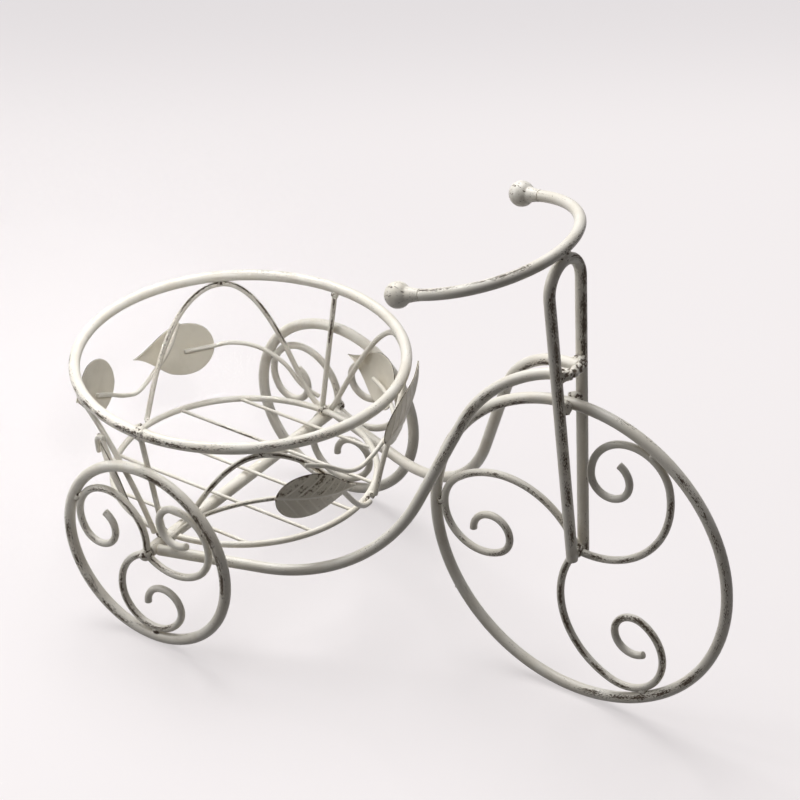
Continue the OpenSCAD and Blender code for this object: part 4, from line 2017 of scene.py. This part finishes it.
@dataclass(frozen=True)
class Lamp:
    """A round soft lamp.

    Attributes:
        name: Its name.
        at: Its place, in metres.
        size: Its diameter, in metres.
        power: Its power, in watts.
        aim: What it points at, in metres.
        spread: Width of its beam, in degrees.
    """

    name: str
    at: tuple[float, float, float]
    size: float
    power: float
    aim: tuple[float, float, float] = (0.0, 0.0, 0.1)
    spread: float = 180.0

    def build(self) -> None:
        """Makes the lamp."""
        data = bpy.data.lights.new(self.name, "AREA")
        data.shape = "DISK"
        data.size = self.size
        data.energy = self.power
        data.spread = math.radians(self.spread)
        lamp = bpy.data.objects.new(self.name, data)
        aim = (Vector(self.aim) - Vector(self.at)).to_track_quat("-Z", "Y")
        lamp.matrix_world = Matrix.Translation(self.at) @ aim.to_matrix().to_4x4()
        lamp.visible_camera = False
        bpy.context.scene.collection.objects.link(lamp)


@dataclass(frozen=True)
class Studio:
    """Pale floor, surroundings and lamps.

    Attributes:
        floor_pale: Colour of the floor as the camera sees it.
        floor_far: Its colour behind the stand, where the light falls off.
        cloud_scale: Scale of the faint clouds on it.
        cloud_tone: Tone of a cloud.
        cloud_share: How much the clouds show.
        floor_dull: Colour of the floor that lights the stand from below.
        floor_wash: Share of its own light that hides the shadows from the camera.
        around: Colour of the surroundings as the camera sees them.
        glow: Strength of the surroundings as a light.
        floor_radius: Radius of the floor, in metres.
        far_start: Distance behind the stand at which the floor begins to darken, in metres.
        far_end: Distance behind the stand at which it is darkest, in metres.
        under_lamp: Tone of the floor under the top lamp, where it is lit most.
        under_span: Distances from there at which that tone starts and is full, in metres.
        lamps: The lamps.
    """

    floor_pale: Colour = (0.935, 0.893, 0.897)
    floor_far: Colour = (0.82, 0.785, 0.795)
    cloud_scale: float = 1.6
    cloud_tone: float = 0.98
    cloud_share: float = 0.35
    floor_dull: Colour = (0.13, 0.127, 0.12)
    floor_wash: float = 0.6
    around: Colour = (0.84, 0.81, 0.82)
    glow: float = 0.075
    floor_radius: float = 9.0
    far_start: float = 0.52
    far_end: float = 0.78
    under_lamp: float = 0.72
    under_span: tuple[float, float] = (1.1, 0.15)
    lamps: tuple[Lamp, ...] = (
        Lamp("top_lamp", (-0.75, 0.35, 1.7), 1.6, 39.0),
        Lamp("left_lamp", (-0.70, -0.45, 0.55), 0.5, 2.7),
        Lamp("basket_lamp", (0.45, -0.60, 0.90), 0.14, 0.06, (-0.24, 0.05, 0.10), 15.0),
    )

    # Level direction from the camera past the stand
    BEHIND: ClassVar[tuple[float, float, float]] = (-0.568, 0.823, 0.0)
    RAYS: ClassVar[tuple[str, ...]] = ("Is Camera Ray", "Is Glossy Ray", "Is Transmission Ray")

    def seen(self, g: Graph) -> Plug:
        """Tells what the camera sees from what only lights the stand.

        Args:
            g: A material's graph.

        Returns:
            1 for a camera ray, or one that mirrors or passes on what it sees, else 0.
        """
        path = g.node("ShaderNodeLightPath")
        rays = [Plug(g, path.outputs[name]) for name in self.RAYS]
        return rays[0].most(rays[1]).most(rays[2])

    def build(self) -> None:
        """Makes the floor, the surroundings and the lamps."""
        self._floor()
        self._world()
        for lamp in self.lamps:
            lamp.build()
        bpy.context.scene.view_settings.view_transform = "Standard"

    def _floor(self) -> None:
        """Makes the floor, a wide disc."""
        bm = bmesh.new()
        bmesh.ops.create_circle(
            bm, cap_ends=True, cap_tris=True, segments=96, radius=self.floor_radius
        )
        mesh = bpy.data.meshes.new("floor")
        bm.to_mesh(mesh)
        bm.free()
        material = bpy.data.materials.new("pale_floor")
        material.use_nodes = True
        g = Graph(material.node_tree)
        place = g.plug("ShaderNodeTexCoord", None, None, out="Object")
        behind = g.vector("DOT_PRODUCT", place, self.BEHIND, out="Value")
        cloud = g.noise(place, self.cloud_scale, 1.0).span(0.3, 0.7) * self.cloud_share
        clouded = tuple(c * self.cloud_tone for c in self.floor_pale)
        pale = g.mix_colour(cloud, self.floor_pale, clouded)
        pale = g.mix_colour(behind.span(self.far_start, self.far_end), pale, self.floor_far)
        seen = self.seen(g)
        foot = (*self.lamps[0].at[:2], 0.0)
        away = g.vector("DISTANCE", place, foot, out="Value")
        tone = (self.under_lamp,) * 3
        under = g.mix_colour(1.0, pale, tone, "MULTIPLY")
        lit = g.mix_colour(away.span(*self.under_span), pale, under)
        colour = g.mix_colour(seen, self.floor_dull, lit)
        matt = g.node("ShaderNodeBsdfDiffuse", None, {"Color": colour})
        wash = g.node("ShaderNodeEmission", None, {"Color": pale, "Strength": 1.0})
        mixed = {0: seen * self.floor_wash, 1: matt.outputs[0], 2: wash.outputs[0]}
        shader = g.node("ShaderNodeMixShader", None, mixed)
        g.node("ShaderNodeOutputMaterial", None, {"Surface": shader.outputs[0]})
        mesh.materials.append(material)
        floor = bpy.data.objects.new("floor", mesh)
        bpy.context.scene.collection.objects.link(floor)

    def _world(self) -> None:
        """Makes the surroundings: pale to the camera and dim as a light."""
        world = bpy.data.worlds.new("surroundings")
        bpy.context.scene.world = world
        world.use_nodes = True
        g = Graph(world.node_tree)
        seen = self.seen(g)
        dim = tuple(c * self.glow for c in self.around)
        colour = g.mix_colour(seen, dim, self.around)
        shader = g.node("ShaderNodeBackground", None, {"Color": colour, "Strength": 1.0})
        g.node("ShaderNodeOutputWorld", None, {"Surface": shader.outputs[0]})


# Dark bands along one side of a rod, by the name of the rod. They are partly real rub-through and
# partly painted shade: along the scrolls they follow the shaded side that faces the camera, and on
# arch_front_right they stand for the shadow of the basket rim.
RUBS_AND_PAINTED_SHADE: dict[str, tuple[Rub, ...]] = {
    "right_wheel_rim": (
        *dark_bands(
            0.8,
            (-92, -84, 103, 0.0, -1.0, 0.1), (-80, -84, 99, 0.1, -1.0, 0.2),
            (-73, -84, 95, 0.1, -1.0, 0.2), (-66, -84, 88, 0.2, -1.0, 0.1),
            (-59, -84, 80, 0.2, -1.0, 0.1), (-54, -84, 69, 0.1, -1.0, 0.0),
            (-52, -84, 57, 0.1, -1.0, 0.0),
        ),
        *dark_bands(
            0.7,
            (-152, -84, 51, 0.2, -1.0, 0.0), (-148, -84, 32, 0.3, -0.9, 0.1),
            (-140, -84, 20, 0.3, -0.9, 0.3), (-128, -84, 10, 0.2, -0.9, 0.3),
            (-120, -84, 6, 0.1, -0.9, 0.3),
        ),
    ),
    # Painted shade as well as rub-through: the bands of these scrolls lie on their shaded side
    # towards the camera.
    "right_scroll_rear": (
        *dark_bands(
            0.65,
            (-130, -84, 83, 0.0, -1.0, 0.1), (-119, -84, 83, 0.1, -0.9, 0.3),
            (-111, -84, 78, 0.2, -0.9, 0.3), (-104, -84, 70, 0.3, -0.9, 0.2),
            (-102, -84, 61, 0.2, -1.0, 0.0),
        ),
        *dark_bands(
            0.45,
            (-143, -84, 56, 0.6, -0.7, 0.3), (-136, -84, 49, 0.2, -0.7, 0.7),
            (-122, -84, 58, 0.5, -0.9, -0.1),
        ),
    ),
    "right_scroll_lower": (
        *dark_bands(0.65, (-105, -84, 52, 0.0, -1.0, 0.0)),
        *dark_bands(
            0.6,
            (-117, -84, 39, 0.0, -1.0, 0.0), (-119, -84, 28, 0.3, -1.0, 0.0),
            (-117, -84, 18, 0.4, -0.9, 0.2), (-111, -84, 12, 0.3, -0.9, 0.4),
            (-100, -84, 8, 0.0, -0.9, 0.3), (-91, -84, 10, -0.3, -0.8, 0.6),
        ),
    ),
    "right_scroll_upper": (
        *dark_bands(0.6, (-100, -84, 52, 0.3, -0.9, 0.4)),
        *dark_bands(0.5, (-95, -84, 49, 0.3, -0.5, 0.8), (-84, -84, 47, 0.0, -0.6, 0.8)),
    ),
    "basket_rim": (
        *dark_bands(0.5, (-171, -51, 128, -0.5, -0.6, 0.5)),
        *dark_bands(0.55, (-163, -60, 128, -0.5, -0.7, 0.4)),
        *dark_bands(0.62, (-152, -70, 128, -0.4, -0.8, 0.4)),
        *dark_bands(0.68, (-138, -78, 128, -0.3, -0.9, 0.3)),
        *dark_bands(0.74, (-125, -83, 128, -0.2, -0.9, 0.3)),
        *dark_bands(
            0.76,
            (-110, -86, 128, -0.1, -0.9, 0.3), (-101, -86, 128, 0.0, -0.9, 0.3),
            (-90, -85, 128, 0.1, -0.9, 0.3),
        ),
        *dark_bands(0.72, (-80, -83, 128, 0.3, -0.9, 0.2)),
        *dark_bands(0.68, (-68, -79, 128, 0.4, -0.9, 0.2)),
        *dark_bands(
            0.5,
            (-61, -75, 128, 0.4, -0.8, 0.4), (-39, -59, 128, 0.6, -0.6, 0.5),
            (-30, -46, 128, 0.7, -0.4, 0.6), (-24, -36, 128, 0.7, -0.3, 0.6),
        ),
        *dark_bands(
            0.4,
            (-162, 62, 128, 0.1, -0.1, 1.0), (-154, 69, 128, 0.0, -0.1, 1.0),
            (-145, 75, 128, 0.0, -0.1, 1.0), (-131, 81, 128, 0.0, -0.1, 1.0),
            (-116, 85, 128, 0.0, 0.0, 1.0),
        ),
    ),
    "handlebar": (
        *dark_bands(
            0.6,
            (46, -53, 240, -0.2, -0.2, 0.9), (58, -50, 243, -0.2, -0.3, 0.9),
            (73, -42, 247, -0.1, -0.3, 1.0), (78, -36, 249, 0.0, -0.2, 1.0),
            (85, -26, 251, 0.0, -0.2, 1.0),
        ),
        *dark_bands(0.5, (91, 0, 254, 1.0, 0.0, 0.2), (90, 12, 254, 0.9, 0.2, 0.4)),
    ),
    "fork": (
        *dark_bands(
            0.74,
            (93, -14, 234, 0.8, -0.6, 0.1), (94, -13, 219, 0.8, -0.6, 0.0),
            (95, -12, 205, 0.8, -0.6, 0.0), (96, -12, 193, 0.8, -0.6, 0.0),
            (97, -11, 181, 0.8, -0.6, 0.0), (98, -10, 169, 0.8, -0.6, 0.0),
            (99, -10, 157, 0.8, -0.6, 0.0), (100, -9, 146, 0.8, -0.6, 0.0),
            (101, -8, 124, 0.8, -0.6, 0.0), (103, -6, 102, 0.8, -0.6, 0.0),
            (104, 5, 84, 0.8, -0.6, 0.1),
        ),
        *dark_bands(
            0.85,
            (93, 14, 235, 0.9, -0.4, 0.0), (94, 13, 219, 0.9, -0.5, 0.1),
            (95, 12, 207, 0.9, -0.5, 0.1), (96, 12, 197, 0.9, -0.5, 0.1),
        ),
        *dark_bands(0.7, (92, 9, 244, 0.8, 0.4, 0.5)),
    ),
    "right_frame_rod": (
        *dark_bands(
            0.6,
            (60, -15, 170, 0.2, -1.0, 0.2), (53, -18, 161, 0.2, -1.0, 0.1),
            (48, -20, 152, 0.3, -0.9, 0.1), (44, -22, 141, 0.3, -0.9, 0.1),
            (40, -24, 132, 0.3, -0.9, 0.1),
        ),
    ),
    "left_frame_rod": (
        *dark_bands(
            0.75,
            (53, 17, 162, 0.6, -0.6, -0.5), (65, 13, 175, 0.1, -0.9, -0.5),
            (79, 9, 184, -0.1, -1.0, -0.2),
        ),
    ),
    "front_wheel_rim": (
        *dark_bands(
            0.7,
            (28, 0, 123, 0.8, -0.5, -0.4), (35, 0, 135, 0.7, -0.6, -0.4),
            (46, 0, 147, 0.4, -0.8, -0.5), (57, 0, 156, 0.3, -0.9, -0.4),
            (69, 0, 164, 0.2, -0.9, -0.3),
        ),
        *dark_bands(
            0.5,
            (161, 0, 149, 0.4, -0.8, 0.4), (168, 0, 141, 0.4, -0.8, 0.4),
            (174, 0, 133, 0.5, -0.8, 0.3), (180, 0, 123, 0.5, -0.8, 0.2),
            (185, 0, 109, 0.5, -0.9, 0.1), (187, 0, 98, 0.4, -0.9, 0.1),
            (188, 0, 86, 0.4, -0.9, 0.0), (184, 0, 62, 0.2, -1.0, -0.1),
            (175, 0, 42, 0.0, -1.0, 0.0),
        ),
        *dark_bands(
            0.75,
            (117, 0, 4, -0.1, -0.7, 0.7), (132, 0, 8, -0.2, -0.8, 0.5),
            (143, 0, 13, -0.2, -0.9, 0.4), (157, 0, 22, -0.2, -1.0, 0.2),
            (171, 0, 36, 0.0, -1.0, 0.0),
        ),
        *dark_bands(0.35, (128, 0, 168, 0.3, 0.1, 1.0), (141, 0, 162, 0.4, 0.1, 0.9)),
    ),
    # Painted shade as well as rub-through: the bands of these scrolls lie on their shaded side
    # towards the camera.
    "front_scroll_upper": (
        *dark_bands(
            0.7,
            (155, 0, 130, 0.5, -0.8, 0.0), (153, 0, 120, 0.4, -0.9, -0.1),
            (147, 0, 106, 0.1, -1.0, -0.1), (133, 0, 93, -0.1, -1.0, 0.2),
            (116, 0, 87, -0.1, -0.8, 0.5),
        ),
    ),
    "front_scroll_lower": (
        *dark_bands(
            0.8,
            (98, 0, 75, 0.2, -1.0, -0.1), (95, 0, 58, 0.4, -0.9, 0.0), (98, 0, 42, 0.5, -0.9, 0.2),
            (106, 0, 29, 0.4, -0.8, 0.4), (120, 0, 19, 0.2, -0.8, 0.5),
            (132, 0, 16, 0.0, -0.9, 0.4),
        ),
        *dark_bands(
            0.75,
            (154, 0, 34, 0.5, -0.9, -0.1), (154, 0, 43, 0.6, -0.8, 0.2),
            (148, 0, 53, 0.5, -0.7, 0.5), (141, 0, 58, 0.2, -0.7, 0.7),
            (130, 0, 56, -0.1, -1.0, 0.1),
        ),
    ),
    "front_scroll_rear": (
        *dark_bands(
            0.6,
            (94, 0, 102, 0.3, -0.9, 0.3), (85, 0, 109, 0.2, -0.9, 0.4),
            (76, 0, 112, 0.1, -0.9, 0.4), (58, 0, 114, 0.0, -1.0, 0.3),
            (40, 0, 109, 0.0, -1.0, 0.0),
        ),
        *dark_bands(
            0.5,
            (27, 0, 78, 0.6, -0.7, 0.3), (39, 0, 67, 0.3, -0.7, 0.6), (60, 0, 69, -0.1, -1.0, 0.2),
            (63, 0, 83, 0.6, -0.7, 0.4),
        ),
    ),
    "arch_rear_left": (
        *dark_bands(
            0.95,
            (-172, 47, 115, 0.0, -0.7, 0.7), (-169, 53, 120, 0.1, -0.6, 0.8),
            (-162, 61, 123, 0.3, -0.3, 0.9), (-154, 68, 120, 0.6, -0.2, 0.7),
            (-143, 73, 108, 0.8, -0.2, 0.6), (-134, 74, 96, 0.8, -0.3, 0.5),
        ),
        *dark_bands(0.5, (-176, 34, 100, 0.5, -0.7, 0.5), (-176, 29, 93, 0.5, -0.8, 0.5)),
    ),
    # Painted shade as well as rub-through: this arch lies under the basket rim, in its shadow and
    # on its unlit side, and its amount is set high for that.
    "arch_front_right": (
        *dark_bands(
            1.0,
            (-65, -73, 103, 0.2, -1.0, 0.0), (-56, -71, 115, 0.2, -1.0, 0.2),
            (-48, -67, 121, 0.3, -0.8, 0.4), (-36, -54, 121, 0.8, -0.4, 0.4),
            (-31, -45, 115, 0.9, -0.3, 0.2), (-28, -36, 106, 1.0, -0.3, 0.0),
        ),
    ),
    "tendril_5": (
        *dark_bands(
            0.65,
            (-68, -74, 85, 0.3, -1.0, 0.1), (-57, -69, 91, 0.4, -0.9, 0.2),
            (-49, -64, 94, 0.6, -0.8, 0.3), (-40, -56, 95, 0.7, -0.6, 0.3),
        ),
    ),
    "floor_wire_4": (
        *dark_bands(0.9, (-134, 27, 59, 0.0, -0.9, 0.3), (-120, 27, 59, 0.0, -0.9, 0.3)),
    ),
    "left_stay": (
        *dark_bands(0.8, (-102, 84, 124, 0.5, -0.8, 0.2), (-102, 80, 105, 0.5, -0.8, 0.2)),
    ),
}


# Size of a butt weld, as a share of the rod's radius, and its crust
WHEEL_BUTT = (1.12, 0.3)
RIM_BUTT = (1.34, 1.0)
# Share of the way from the end of a frame rod to the fork's leg, and size of the lump there
LEG_CRUST = ((0.15, 2.9), (0.45, 3.2), (0.75, 2.6))
# Shares of the way from one frame rod to the other, and size of the lumps there
CROSS_CRUST = (0.2, 0.4, 0.6, 0.8)
CROSS_SIZE = 2.9
CRUST = 0.9


def extra_lumps(
    wheels: Sequence[Wheel], basket: Basket, fork: Fork, frame: Frame
) -> dict[str, list[Lump]]:
    """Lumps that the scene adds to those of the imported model.

    Args:
        wheels: The wheels, whose rims have a butt weld.
        basket: The basket, whose rim has one.
        fork: The fork.
        frame: The frame, whose rods end in a crust of weld.

    Returns:
        The lumps, by the name of their node or piece.
    """
    shop = basket.shop
    size, crusty = WHEEL_BUTT
    butts = [Lump(wheel.seam_point(), shop.rod * size, crusty) for wheel in wheels]
    rim = basket.ring(basket.rim, basket.rim_z, basket.rim_seam)
    size, crusty = RIM_BUTT
    butts.append(Lump(rim[0], shop.rod * size, crusty))
    crust = []
    height = fork.length - frame.below_top
    for side in Side:
        end = frame.front_end(side)
        leg = fork.place((0.0, side.value * fork.side_at(height), height))
        for share, size in LEG_CRUST:
            crust.append(Lump(end.lerp(leg, share) + Vector((1.0, 0.0, 0.6)), size, CRUST))
    near, far = (frame.front_end(side) for side in (Side.RIGHT, Side.LEFT))
    for share in CROSS_CRUST:
        crust.append(Lump(near.lerp(far, share) + Vector((1.0, 0.0, 0.0)), CROSS_SIZE, CRUST))
    return {"fork_welds": crust, "ring_butt_welds": butts}


def main() -> None:
    """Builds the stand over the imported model, and its studio."""
    logging.basicConfig(level=logging.INFO, format="%(name)s: %(message)s")
    frame_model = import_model()
    Camera().build()
    shop = Workshop(dark_bands=RUBS_AND_PAINTED_SHADE)
    shop.prepare()
    front_x, axle_x, track = 104.0, -102.0, 84.5
    front_outer, rear_outer = 87.0, 53.5
    front_hub = Vector((front_x, 0.0, front_outer))
    front_rule = ScrollRule(
        share=0.571, first_turn=105, middle_turn=172, curl_turn=242, phase=180
    )
    rear_rule = ScrollRule(share=0.574, first_turn=72, middle_turn=146, curl_turn=213, phase=155)
    wheels = [Wheel(shop, "front", front_hub, front_outer, front_rule, wear=0.08)]
    for side in Side:
        hub = Vector((axle_x, side.value * track, rear_outer))
        wheels.append(Wheel(shop, side.word, hub, rear_outer, rear_rule, wear=0.1))
    fork = Fork(shop, front_hub)
    bar = Handlebar(shop, fork)
    frame = Frame(shop, fork, axle_x, track - shop.scroll - shop.gap, rear_outer)
    basket = Basket(shop, axle_x)
    leaves = Leaves(shop, basket)
    for part in (*wheels, fork, bar, frame, basket, leaves):
        part.build()
    Welds(shop).build(frame_model, extra_lumps(wheels, basket, fork, frame))
    Studio().build()


if __name__ == "__main__":
    main()
